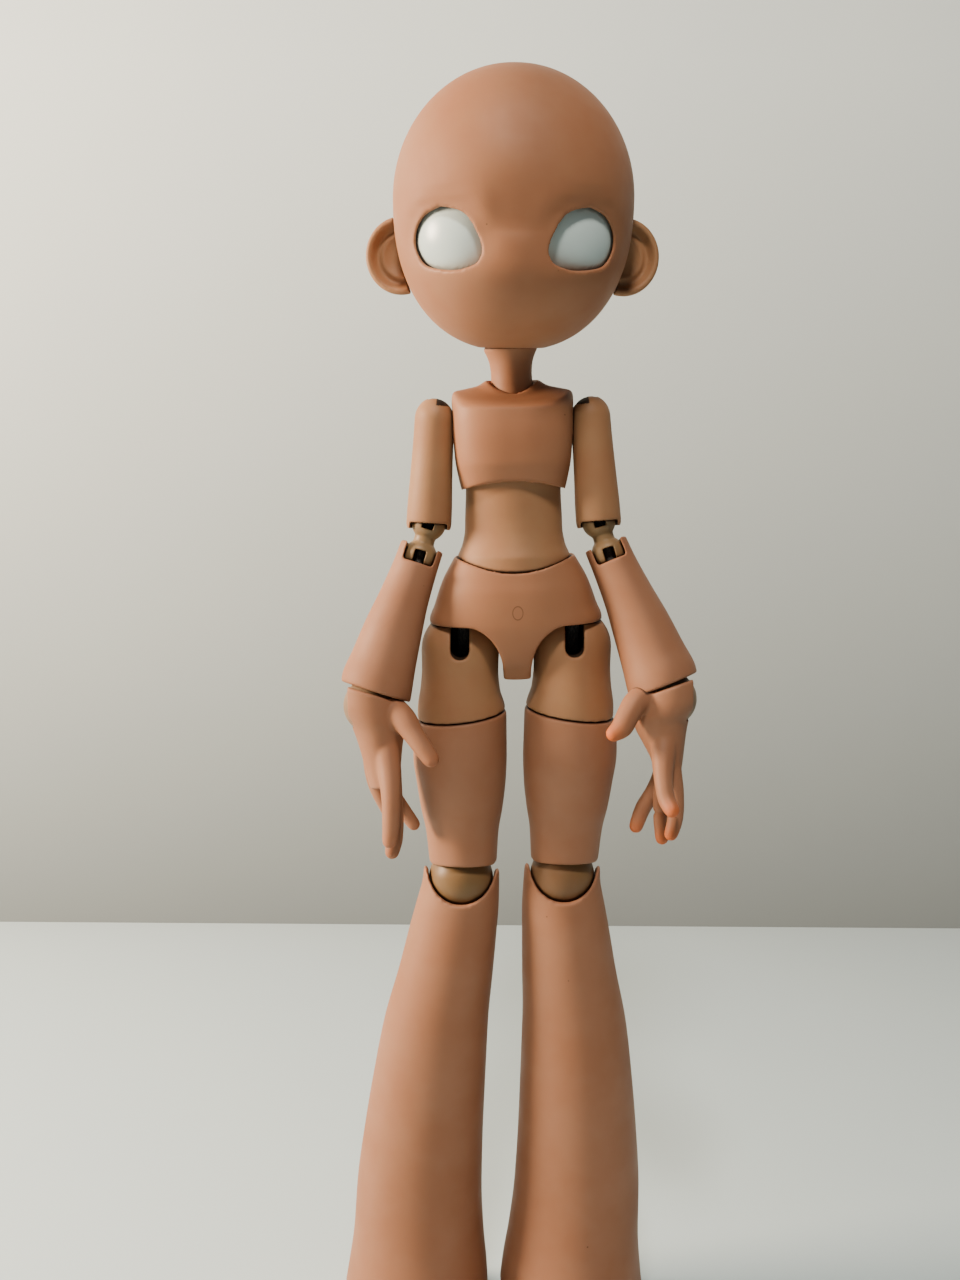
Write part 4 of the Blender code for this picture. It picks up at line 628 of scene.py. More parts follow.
class Casting:
    """A piece in the making, in millimetres in its own frame."""

    def __init__(self, name: str, skin: BMesh) -> None:
        """Starts it from a closed skin."""
        self.name = name
        self.blank = make_object(name, skin)

    def cut(self, *guides: BMesh) -> "Casting":
        """Takes guides out of it."""
        return self._combine(guides, "DIFFERENCE")

    def fuse(self, *guides: BMesh) -> "Casting":
        """Adds guides to it."""
        return self._combine(guides, "UNION")

    def join(self, *others: BMesh) -> "Casting":
        """Lays other skins over it as they are, for the grid to melt into one."""
        skin = bmesh.new()
        skin.from_mesh(self.blank.data)
        for other in others:
            mesh = bpy.data.meshes.new("part")
            other.to_mesh(mesh)
            other.free()
            skin.from_mesh(mesh)
        skin.to_mesh(self.blank.data)
        skin.free()
        return self

    def _combine(self, guides: Iterable[BMesh], operation: str) -> "Casting":
        """Runs one Boolean for each guide."""
        for guide in guides:
            other = make_object("guide", guide)
            modifier = self.blank.modifiers.new("shape", "BOOLEAN")
            modifier.operation = operation
            modifier.solver = "EXACT"
            modifier.object = other
            self._apply()
            bpy.data.objects.remove(other)
        return self

    def _apply(self) -> None:
        """Bakes the modifiers into the mesh."""
        bpy.context.view_layer.update()
        graph = bpy.context.evaluated_depsgraph_get()
        mesh = bpy.data.meshes.new_from_object(self.blank.evaluated_get(graph))
        self.blank.modifiers.clear()
        self.blank.data = mesh

    def soften(self, grid: float, passes: int) -> "Casting":
        """Rebuilds the skin on an even grid and rounds its edges as sanding does.

        Args:
            grid: the grid's step.
            passes: how often the skin is smoothed.

        Returns:
            The casting.
        """
        modifier = self.blank.modifiers.new("grid", "REMESH")
        modifier.mode = "VOXEL"
        modifier.voxel_size = grid * 1.0
        self._apply()
        skin = bmesh.new()
        skin.from_mesh(self.blank.data)
        for _ in range(passes):
            bmesh.ops.smooth_vert(skin, verts=skin.verts[:], factor=0.5, use_axis_x=True, use_axis_y=True,
                                  use_axis_z=True)
        skin.to_mesh(self.blank.data)
        skin.free()
        return self

    def paint(self, name: str, amount: Callable[[Vector], float]) -> "Casting":
        """Writes a number on each vertex, worked out from its place.

        Args:
            name: the attribute.
            amount: gives 0 to 1 for a place.

        Returns:
            The casting.
        """
        mesh = self.blank.data
        values = [min(1.0, max(0.0, amount(vert.co))) for vert in mesh.vertices]
        layer = mesh.attributes.new(name, "FLOAT", "POINT")
        layer.data.foreach_set("value", values)
        return self

    def finish(self, where: Matrix, body: str, nodes: Sequence[str], material: Material,
               seams: bool = True) -> Object:
        """Puts the piece in its place and hands it to its body.

        Args:
            where: the piece's frame, in metres.
            body: the body it rides on.
            nodes: the CAD nodes it stands for.
            material: its finish.
            seams: whether painted shade and grime darken it where it meets its neighbours.

        Returns:
            The finished piece.
        """
        mesh = self.blank.data
        mesh.transform(where @ Matrix.Scale(MM, 4))
        mesh.update()
        for polygon in mesh.polygons:
            polygon.use_smooth = True
        if seams:
            mark_seams(self.blank, nodes)
        mesh.materials.clear()
        mesh.materials.append(material)
        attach(self.blank, body)
        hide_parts(*nodes)
        LOG.info("%s: %d faces on %s", self.name, len(mesh.polygons), body)
        return self.blank


SEAM_NEAR = 0.34 * MM
SEAM_FAR = 0.62 * MM
TREES: dict[str, BVHTree] = {}


def node_tree(name: str) -> BVHTree:
    """Gives a search tree over a CAD node, made once."""
    if name not in TREES:
        mesh = frame["nodes"][name].data
        TREES[name] = BVHTree.FromPolygons([v.co for v in mesh.vertices], [tuple(p.vertices) for p in mesh.polygons])
    return TREES[name]


def mark_seams(piece: Object, own: Sequence[str]) -> None:
    """Writes how close each vertex lies to a neighbouring piece, for the painted shade and grime that darken it there.

    Args:
        piece: the object, in its place.
        own: the CAD nodes that the piece stands for.
    """
    corners = [Vector(corner) for corner in piece.bound_box]
    low = [min(c[k] for c in corners) - SEAM_FAR for k in range(3)]
    high = [max(c[k] for c in corners) + SEAM_FAR for k in range(3)]
    near = []
    for name in frame["nodes"]:
        if name in own or name.startswith("cord") or "hook" in name:
            continue
        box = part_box(name)
        if all(box[0][k] < high[k] and box[1][k] > low[k] for k in range(3)):
            near.append(node_tree(name))
    values = []
    for vert in piece.data.vertices:
        least = SEAM_FAR
        for tree in near:
            found = tree.find_nearest(vert.co, least)
            if found[0] is not None:
                least = min(least, found[3])
        values.append((SEAM_FAR - least) / (SEAM_FAR - SEAM_NEAR))
    layer = piece.data.attributes.new("seam", "FLOAT", "POINT")
    layer.data.foreach_set("value", [min(1.0, value) for value in values])


JOINT_PLACES = {joint["name"]: Vector(joint["pos_m"]) for joint in frame["joints"] if "pos_m" in joint}


@dataclass
class Stance:
    """How the doll stands: leans about Y and swings about X, in degrees, from one piece to the next."""

    pelvis_lean: float = -1.8
    waist_lean: float = 0.6
    neck_lean: float = -1.8
    head_lean: float = 3.0
    knee_lean: float = 3.0
    shin_lean: float = 1.8
    arm_lean: float = 3.8
    link_lean: float = 13.0
    forearm_leans: dict[Side, float] = field(default_factory=lambda: {Side.LEFT: 17.4, Side.RIGHT: 14.6})
    arm_swing: float = -4.0
    frames: dict[str, Matrix] = field(default_factory=dict)

    def __post_init__(self) -> None:
        """Works out every piece's frame."""
        hips = [JOINT_PLACES[f"hip_spread_{side.label}"] for side in Side]
        self._add("pelvis", Matrix(), (hips[0] + hips[1]) / 2, self.pelvis_lean)
        self._add("waist", self.frames["pelvis"], JOINT_PLACES["waist_lean"], self.waist_lean)
        self._add("chest", self.frames["waist"], JOINT_PLACES["chest_bend"])
        self._add("neck", self.frames["chest"], JOINT_PLACES["neck_tilt"], self.neck_lean)
        self._add("head", self.frames["neck"], JOINT_PLACES["head_nod"], self.head_lean)
        for side in Side:
            self._stand_limbs(side)

    def _stand_limbs(self, side: Side) -> None:
        """Works out the frames of one side's arm and leg."""
        out = -side.value
        name = side.label
        forearm = self.forearm_leans[side]
        chain = (
            ("upper_arm", "chest", "shoulder_swing", out * self.arm_lean, self.arm_swing),
            ("elbow_link", "upper_arm", "elbow_upper", out * self.link_lean, self.arm_swing),
            ("forearm", "elbow_link", "elbow_lower", out * (forearm - self.link_lean), self.arm_swing),
            ("wrist", "forearm", "wrist_turn", 0.0, 0.0),
            ("hand", "wrist", "wrist_bend", -out * (forearm + self.arm_lean), 0.0),
            ("hip", "pelvis", "hip_swing", -self.pelvis_lean, 0.0),
            ("thigh", "hip", "thigh_turn", 0.0, 0.0),
            ("knee_link", "thigh", "knee_upper", self.knee_lean, 0.0),
            ("shin", "knee_link", "knee_lower", self.shin_lean - self.knee_lean, 0.0),
            ("foot", "shin", "ankle_tilt", -self.shin_lean, 0.0),
        )
        for piece, carrier, joint, lean, swing in chain:
            start = self.frames.get(carrier) or self.frames[f"{carrier}_{name}"]
            self._add(f"{piece}_{name}", start, JOINT_PLACES[f"{joint}_{name}"], lean, swing)

    def _add(self, piece: str, carrier: Matrix, place: Vector, lean: float = 0.0, swing: float = 0.0) -> None:
        """Turns a piece against its carrier and puts it at its joint."""
        turn = carrier.to_3x3() @ Euler((math.radians(swing), math.radians(lean), 0.0)).to_matrix()
        self.frames[piece] = Matrix.Translation(place) @ turn.to_4x4()


STANCE = Stance()
CLEAR = 0.3
PINHOLE = 0.02


@dataclass
class Torso:
    """The pelvis, waist, chest and neck."""

    pelvis_size: Vector = field(default_factory=lambda: Vector((45.4, 27.0, 33.0)))
    pelvis_below_hips: float = 7.5
    pelvis_rows: tuple[Row, ...] = (
        (1.000, 0.330, 0.40, 0.39), (0.900, 0.372, 0.43, 0.42), (0.800, 0.412, 0.46, 0.46),
        (0.700, 0.441, 0.49, 0.50), (0.580, 0.470, 0.50, 0.53), (0.470, 0.500, 0.50, 0.53),
        (0.360, 0.480, 0.48, 0.50), (0.150, 0.300, 0.40, 0.40), (0.000, 0.120, 0.27, 0.27),
    )
    pelvis_power: float = 2.4
    waist_above_hips: float = 37.0
    waist_cup: float = 19.5
    arch_width: float = 18.8
    arch_height: float = 12.6
    arch_top: float = 7.2
    arch_inset: float = 1.8
    hip_aside: float = 14.8
    hip_radius: float = 10.3
    waist_size: Vector = field(default_factory=lambda: Vector((25.2, 19.4, 20.0)))
    waist_rows: tuple[Row, ...] = (
        (1.00, 0.488, 0.485, 0.485), (0.82, 0.490, 0.455, 0.455), (0.55, 0.500, 0.450, 0.450),
        (0.36, 0.505, 0.470, 0.470), (0.18, 0.530, 0.520, 0.520), (0.00, 0.588, 0.600, 0.610),
    )
    chest_above_waist: float = 7.2
    waist_dome: float = 9.4
    chest_size: Vector = field(default_factory=lambda: Vector((31.2, 25.0, 25.2)))
    chest_below_joint: float = 2.6
    chest_arch: float = 3.0
    chest_power: float = 2.7
    chest_rows: tuple[Row, ...] = (
        (0.00, 0.430, 0.430, 0.440), (0.12, 0.452, 0.455, 0.460), (0.30, 0.478, 0.490, 0.485),
        (0.53, 0.492, 0.500, 0.500), (0.76, 0.500, 0.475, 0.490), (0.90, 0.500, 0.430, 0.460),
        (0.96, 0.495, 0.395, 0.430), (0.99, 0.482, 0.365, 0.400), (1.00, 0.468, 0.345, 0.380),
    )
    collar_radius: float = 6.7
    collar_bore: float = 5.35
    collar_rises: tuple[float, float] = (1.6, 1.1)
    collar_fall: tuple[float, float] = (0.42, 2.0)
    collar_ahead: float = 0.75
    neck_above_chest: float = 21.3
    neck_tilt: float = math.radians(12.0)
    neck_ball: float = 5.8
    neck_height: float = 11.9
    neck_width: float = 10.8
    neck_bore: float = 3.4
    neck_mouth: float = 4.4
    neck_rows: tuple[Row, ...] = ((0.20, 0.495), (0.45, 0.485), (0.68, 0.510), (0.86, 0.575), (0.97, 0.640))
    head_above_neck: float = 6.1
    head_seat: float = 9.0
    shoulder_aside: float = 20.2
    shoulder_above_chest: float = 15.5
    shoulder_radius: float = 5.6
    bore: float = 3.6

    def build(self) -> None:
        """Builds the four pieces."""
        self.build_pelvis()
        self.build_waist()
        self.build_chest()
        self.build_neck()

    def build_pelvis(self) -> None:
        """Builds the pelvis: a cup for the waist and an arched leg opening with a cup each side."""
        size = self.pelvis_size
        rings = []
        for up, half, front, back in dense(self.pelvis_rows, 0.03):
            wide = half * size.x
            rings.append(section(1, up * size.z - self.pelvis_below_hips, wide, wide, front * size.y, back * size.y,
                                 0.0, self.pelvis_power, 96))
        pelvis = Casting("pelvis_casting", grow(rings))
        pelvis.cut(ball(self.waist_cup + CLEAR, Vector((0.0, 0.0, self.waist_above_hips))))
        for side in (1, -1):
            pelvis.cut(slab(self._arch(side), size.y, False),
                       ball(self.hip_radius + CLEAR, Vector((side * self.hip_aside, 0.0, 0.0))))
        pelvis.soften(0.38, 5)
        # painted shade: the depths of the leg cups are painted black
        pelvis.paint("soot", lambda place: self._in_leg_cup(place))
        pelvis.finish(STANCE.frames["pelvis"], "pelvis", ["pelvis"], PELVIS_RESIN)

    def _in_leg_cup(self, place: Vector) -> float:
        """Gives how much painted black shade a place in the leg cups takes: the shade deep in the cups round the hip
        balls.
        """
        away = Vector((abs(place.x) - self.hip_aside, place.y, place.z)).length - self.hip_radius
        return 0.0 if away > 0.6 or place.y < -8.0 or place.z < 2.0 else 0.9

    def _arch(self, side: int) -> list[tuple[float, float]]:
        """Gives the outline of one leg opening: a quarter ellipse, then straight out and down."""
        half = self.arch_width / 2
        middle = side * (self.hip_aside - self.arch_inset)
        base = self.arch_top - self.arch_height
        outline = []
        for index in range(25):
            angle = math.pi / 2 + math.pi / 2 * index / 24
            outline.append((middle + side * half * math.cos(angle), base + self.arch_height * math.sin(angle)))
        below = -2 * self.pelvis_below_hips
        wide = side * self.pelvis_size.x
        return outline + [(outline[-1][0], below), (wide, below), (wide, self.arch_top)]

    def build_waist(self) -> None:
        """Builds the waist: a round foot in the pelvis and a dome inside the chest, with the cord's bore."""
        size = self.waist_size
        bottom = self.chest_above_waist - size.z
        rings = []
        for up, half, front, back in dense(self.waist_rows, 0.03):
            rings.append(section(1, bottom + up * size.z, half * size.x, half * size.x, front * size.y, back * size.y))
        top = dome(rings[0], Vector((0.0, 0.0, self.chest_above_waist)),
                   Vector((size.x / 2, size.y / 2, self.waist_dome)), 1, PINHOLE)
        foot = dome(rings[-1], Vector(), Vector([self.waist_cup] * 3), -1, PINHOLE)
        waist = Casting("waist_casting", grow(list(reversed(top[1:])) + rings[:-1] + foot))
        reach = 2 * self.waist_cup
        waist.cut(rod(Vector((0.0, 0.0, -reach)), Vector((0.0, 0.0, reach)), self.bore))
        waist.soften(0.36, 5)
        waist.finish(STANCE.frames["waist"], "waist", ["waist"], PALE_RESIN)

    def build_chest(self) -> None:
        """Builds the chest: squarish, with an arched hem, a socket for the waist and cups for neck and arms."""
        size = self.chest_size
        rings = []
        for up, half, front, back in dense(self.chest_rows, 0.03):
            wide = half * size.x
            ring = section(1, up * size.z - self.chest_below_joint, wide, wide, front * size.y, back * size.y,
                           0.0, self.chest_power, 96)
            fade = max(0.0, 1.0 - up / 0.3)
            for point in ring:
                point.z += fade * self.chest_arch * max(0.0, 1.0 - (point.x / wide) ** 2)
                point.z -= self._fall(point.y) * max(0.0, (up - 0.84) / 0.16)
            rings.append(ring)
        rings += self._collar(rings[-1])
        chest = Casting("chest_casting", grow(rings))
        spread = Vector((self.waist_size.x / 2 + CLEAR, self.waist_size.y / 2 + CLEAR, self.waist_dome + CLEAR))
        skirt = section(1, -size.z, spread.x, spread.x, spread.y, spread.y)
        edge = section(1, 0.0, spread.x, spread.x, spread.y, spread.y)
        chest.cut(grow([skirt, *dome(edge, Vector(), spread, 1, PINHOLE)]))
        neck = Vector((0.0, 0.0, self.neck_above_chest))
        chest.cut(ball(self.neck_ball + CLEAR / 3, neck), rod(Vector(), neck, self.bore))
        for lean in (0.0, self.neck_tilt, -self.neck_tilt):
            above = Vector((math.sin(lean), 0.0, math.cos(lean))) * self.neck_height
            chest.cut(rod(neck, neck + above, self.collar_bore))
        for side in (1, -1):
            middle = Vector((side * self.shoulder_aside, 0.0, self.shoulder_above_chest))
            chest.cut(ball(self.shoulder_radius + CLEAR, middle))
        chest.soften(0.36, 4)
        piece = chest.finish(STANCE.frames["chest"], "chest", ["chest"], FACE_RESIN, seams=False)
        mark_seams(piece, ["chest", "neck"])

    def _fall(self, back: float) -> float:
        """Gives how much lower the top of the chest lies in front of the neck than beside it."""
        slope, start = self.collar_fall
        return slope * max(0.0, -back - start)

    def _collar(self, edge: Ring) -> list[Ring]:
        """Runs the top of the chest up to the neck: a slope like that of a trapezius, then a small fillet."""
        slope, fillet = self.collar_rises
        goal = hoop(self.collar_radius, max(point.z for point in edge), count=len(edge))
        goal = [point - Vector((0.0, 0.0, self._fall(point.y))) for point in goal]
        rings = []
        for step in range(1, 13):
            share = step / 12
            rise = slope * share + fillet * max(0.0, (share - 0.6) / 0.4) ** 2
            ring = [a.lerp(b, share) for a, b in zip(edge, goal)]
            for point in ring:
                ahead = max(0.0, -point.y) / math.hypot(point.x, point.y)
                point.z += rise * (1.0 - self.collar_ahead * ahead * ahead)
            rings.append(ring)
        return rings

    def build_neck(self) -> None:
        """Builds the neck: a ball foot, a slim stem and a flared, domed top with the cord's bore."""
        foot = dome(hoop(self.neck_ball), Vector(), Vector([self.neck_ball] * 3), -1, self.neck_bore)
        stem = [hoop(half * self.neck_width, up * self.neck_height) for up, half in dense(self.neck_rows, 0.04)]
        rim = hoop(self.neck_rows[-1][1] * self.neck_width - CLEAR)
        top = dome(rim, Vector((0.0, 0.0, self.head_above_neck)), Vector([self.head_seat] * 3), 1, self.neck_mouth)
        throat = hoop(self.neck_bore, self.head_above_neck)
        neck = Casting("neck_casting", grow(list(reversed(foot)) + stem + top + [throat], True))
        neck.soften(0.3, 4)
        piece = neck.finish(STANCE.frames["neck"], "neck", ["neck"], FACE_RESIN, seams=False)
        mark_seams(piece, ["chest", "neck"])


@dataclass
class Head:
    """The hollow head: face, cap, eyes, ears and the magnets that hold the cap."""

    width: float = 59.8
    depth: float = 61.0
    above: float = 31.8
    below: float = 36.4
    equator: float = 41.4
    forward: float = 2.0
    lower_power: float = 2.3
    wall: float = 2.8
    floor: float = 12.6
    hole: float = 2.6
    split: float = -1.0
    shelf: float = 18.0
    muzzle_depth: float = 1.8
    muzzle_below: float = 21.0
    muzzle_spans: tuple[float, float] = (6.0, 10.5)
    bridge: tuple[float, float, float] = (1.1, 9.5, 7.5)
    brow_depth: float = 1.5
    nose_below: float = 18.0
    nose_rise: float = 0.2
    nose_span: float = 3.4
    eye_width: float = 19.2
    eye_height: float = 14.4
    eye_aside: float = 16.4
    eye_below: float = 12.0
    eye_turn: float = 27.0
    eye_tilt: float = 6.0
    eye_dome: float = 15.0
    eye_thickness: float = 4.4
    eye_inset: float = 0.5
    eye_outline: tuple[Row, ...] = (
        (0.12, 1.00), (-0.47, 0.80), (-0.79, 0.34), (-0.98, -0.31), (-0.90, -0.75), (-0.54, -0.94), (-0.19, -0.99),
        (0.26, -0.93), (0.68, -0.79), (0.91, -0.49), (1.00, -0.09), (0.90, 0.38), (0.61, 0.78), (0.12, 1.00),
    )
    seat: float = 9.0
    boss_radius: float = 4.0
    boss_depth: float = 5.0
    magnet_radius: float = 2.5
    magnet_thickness: float = 1.8
    magnet_above: float = 26.6
    ear_size: Vector = field(default_factory=lambda: Vector((18.4, 19.2, 5.4)))
    ear_aside: float = 27.4
    ear_below: float = 13.0
    ear_behind: float = 3.2
    ear_turn: float = 8.0
    ear_rows: tuple[Row, ...] = (
        (0.30, 0.00), (0.62, 0.10), (0.90, 0.40), (1.00, 0.72), (0.985, 0.92), (0.92, 1.00), (0.84, 0.94),
        (0.76, 0.66), (0.70, 0.52), (0.63, 0.55), (0.54, 0.62), (0.44, 0.52), (0.30, 0.44), (0.10, 0.42),
    )

    def build(self) -> None:
        """Builds every piece of the head."""
        self.build_shells()
        self.build_magnets()
        for side in Side:
            self.build_eye(side)
            self.build_ear(side)

    def _eye_frame(self, side: int) -> Matrix:
        """Gives an eye's frame in the head, with z out of the face."""
        turn = Euler((math.radians(90.0 + self.eye_tilt), 0.0, math.radians(side * self.eye_turn))).to_matrix().to_4x4()
        share = 1.0 - (self.eye_aside / (self.width / 2)) ** 2 - (self.eye_below / self.below) ** 2
        place = Vector((side * self.eye_aside, -self.forward - self.depth / 2 * math.sqrt(share),
                        self.equator - self.eye_below))
        return Matrix.Translation(place) @ turn

    def _egg(self, grow_by: float, lowest: float, face: bool) -> BMesh:
        """Makes the egg of the head.

        Args:
            grow_by: how far its skin lies outside the head's own.
            lowest: where its underside is cut flat.
            face: whether it has the face's relief.

        Returns:
            A closed skin.
        """
        rings = []
        steps = 64
        for index in range(steps + 1):
            angle = math.radians(88.0 - 176.0 * index / steps)
            low = angle < 0
            power = self.lower_power if low else 2.0
            share = abs(math.cos(angle)) ** (2 / power)
            rise = math.copysign(abs(math.sin(angle)) ** (2 / power), angle)
            height = ((self.below if low else self.above) + grow_by) * rise
            wide = (self.width / 2 + grow_by) * share
            deep = (self.depth / 2 + grow_by) * share
            ring = section(1, self.equator + height, wide, wide, deep + self.forward, deep - self.forward, 0.0, 2.1, 144)
            if face:
                ring = [self._relief(point) for point in ring]
            if ring[0].z < lowest:
                rings.append([Vector((p.x, p.y, lowest)) for p in rings[-1]])
                break
            rings.append(ring)
        return grow(rings)

    def _relief(self, point: Vector) -> Vector:
        """Moves a point of the egg to the face: the full cheeks, the shaded sockets and a hint of a nose.

        Args:
            point: a point of the plain egg.

        Returns:
            Where it goes.
        """
        if point.y > self.split:
            return point
        ahead = max(0.0, -(point.y + self.forward) / (self.depth / 2))
        height = point.z - self.equator
        offset = height + self.muzzle_below
        span = self.muzzle_spans[0] if offset > 0 else self.muzzle_spans[1]
        push = self.muzzle_depth * math.exp(-(offset / span) ** 2)
        nose = math.hypot(point.x, height + self.nose_below) / self.nose_span
        push += self.nose_rise * math.exp(-nose * nose)
        depth, below, span = self.bridge
        offset = (height + below) / (span if height > -below else 0.35 * span)
        push -= depth * math.exp(-offset * offset) * math.exp(-(point.x / 6.5) ** 4)
        push *= ahead
        side = 1 if point.x > 0 else -1
        local = self._eye_frame(side).inverted() @ point
        across = local.x / (self.eye_width / 2)
        up = local.y / (self.eye_height / 2)
        rim = math.hypot(across, up)
        lift = 0.55 + 0.45 * up / max(rim, 0.2)
        push -= self.brow_depth * lift * math.exp(-((rim - 1.05) / 0.32) ** 2)
        return Vector((point.x, point.y - push, point.z))

    def _eye_punch(self, side: int) -> BMesh:
        """Makes the punch that opens the face for an eye."""
        smooth = curve_through(self.eye_outline, 6)[:-1]
        rings = []
        for height in (-2 * self.wall, 2 * self.wall):
            rings.append([Vector((side * x * self.eye_width / 2, y * self.eye_height / 2, height)) for x, y in smooth])
        punch = grow(rings)
        bmesh.ops.transform(punch, matrix=self._eye_frame(side), verts=punch.verts[:])
        return punch

    def build_shells(self) -> None:
        """Builds the face with its neck seat, and the cap that lifts off behind."""
        wide = self.width
        tall = 2 * self.width
        face = Casting("face_shell", self._egg(0.0, -tall, True))
        cap = Casting("cap_shell", self._egg(0.0, -tall, False))
        crown = self.equator + self.magnet_above
        gap = CLEAR / 2
        for shell, way in ((face, -1), (cap, 1)):
            shell.cut(self._egg(-self.wall, self.floor, False))
            near = self.split + way * gap
            boss = rod(Vector((0.0, near, crown)), Vector((0.0, near + way * self.boss_depth, crown)), self.boss_radius)
            pocket = rod(Vector((0.0, near - way * self.wall, crown)),
                         Vector((0.0, near + way * (self.magnet_thickness + CLEAR), crown)), self.magnet_radius + CLEAR)
            shell.fuse(boss).cut(pocket)
        face.cut(block(Vector((-wide, self.split - gap, self.shelf - gap)), Vector((wide, wide, tall))))
        face.cut(ball(self.seat + CLEAR), rod(Vector(), Vector((0.0, 0.0, self.shelf)), self.hole))
        for side in (1, -1):
            pocket = ball(self.eye_dome + CLEAR, Vector((0.0, 0.0, -self.eye_inset - self.eye_dome)))
            bmesh.ops.transform(pocket, matrix=self._eye_frame(side), verts=pocket.verts[:])
            face.cut(self._eye_punch(side), pocket)
        face.soften(0.5, 4)
        face.finish(STANCE.frames["head"], "head", ["head_front"], FACE_RESIN)
        cap.cut(block(Vector((-wide, -wide, -wide)), Vector((wide, self.split + gap, tall))))
        cap.cut(block(Vector((-wide, -wide, -wide)), Vector((wide, wide, self.shelf + gap))))
        cap.soften(0.52, 3)
        cap.finish(STANCE.frames["head"], "head_cap", ["head_back"], FACE_RESIN)

    def build_magnets(self) -> None:
        """Builds the two magnet discs, with their edges broken."""
        crown = self.equator + self.magnet_above
        for node, body, way in (("magnet_front", "head", -1), ("magnet_back", "head_cap", 1)):
            near = Vector((0.0, self.split + way * CLEAR, crown))
            far = near + Vector((0.0, way * (self.magnet_thickness - CLEAR / 2), 0.0))
            disc = rod(near, far, self.magnet_radius)
            rims = [edge for edge in disc.edges if edge.calc_face_angle(0.0) > 1.0]
            bmesh.ops.bevel(disc, geom=rims, offset=0.25, offset_type="OFFSET", affect="EDGES", segments=3,
                            profile=0.5, material=-1)
            piece = Casting(f"{node}_disc", disc)
            piece.finish(STANCE.frames["head"], body, [node], NICKEL, seams=False)

    def build_eye(self, side: Side) -> None:
        """Builds one blank domed eye."""
        centre = Vector((0.0, 0.0, -self.eye_inset - self.eye_dome))
        edge = math.sqrt(self.eye_dome ** 2 - (self.eye_dome - self.eye_thickness) ** 2)
        skin = grow(dome(hoop(edge), centre, Vector([self.eye_dome] * 3), 1, PINHOLE, 24))
        eye = Casting(f"eye_blank_{side.label}", skin)
        where = STANCE.frames["head"] @ Matrix.Scale(MM, 4) @ self._eye_frame(side.value) @ Matrix.Scale(1 / MM, 4)
        eye.finish(where, "head", [f"eye_{side.label}"], EYE_PAINT)

    def build_ear(self, side: Side) -> None:
        """Builds one round ear: a rolled rim, a groove inside it and a shallow bowl."""
        size = self.ear_size
        rings = []
        for share, ahead in curve_through(self.ear_rows, 4):
            ring = section(1, ahead * size.z, share * size.x / 2, share * size.x / 2, share * size.y / 2,
                           share * size.y / 2, count=96)
            rings.append(ring)
        turn = Euler((math.radians(90.0), 0.0, math.radians(side.value * self.ear_turn))).to_matrix().to_4x4()
        place = Vector((side.value * self.ear_aside, self.split + self.ear_behind + size.z / 2,
                        self.equator - self.ear_below))
        skin = grow(rings)
        bmesh.ops.transform(skin, matrix=Matrix.Translation(place) @ turn, verts=skin.verts[:])
        ear = Casting(f"ear_casting_{side.label}", skin)
        wide = self.width
        ear.cut(self._egg(CLEAR, -wide, False))
        ear.cut(block(Vector((-wide, -wide, -wide)), Vector((wide, self.split + CLEAR / 2, 2 * wide))))
        ear.soften(0.26, 5)
        ear.finish(STANCE.frames["head"], "head_cap", [f"ear_{side.label}"], PALE_RESIN)


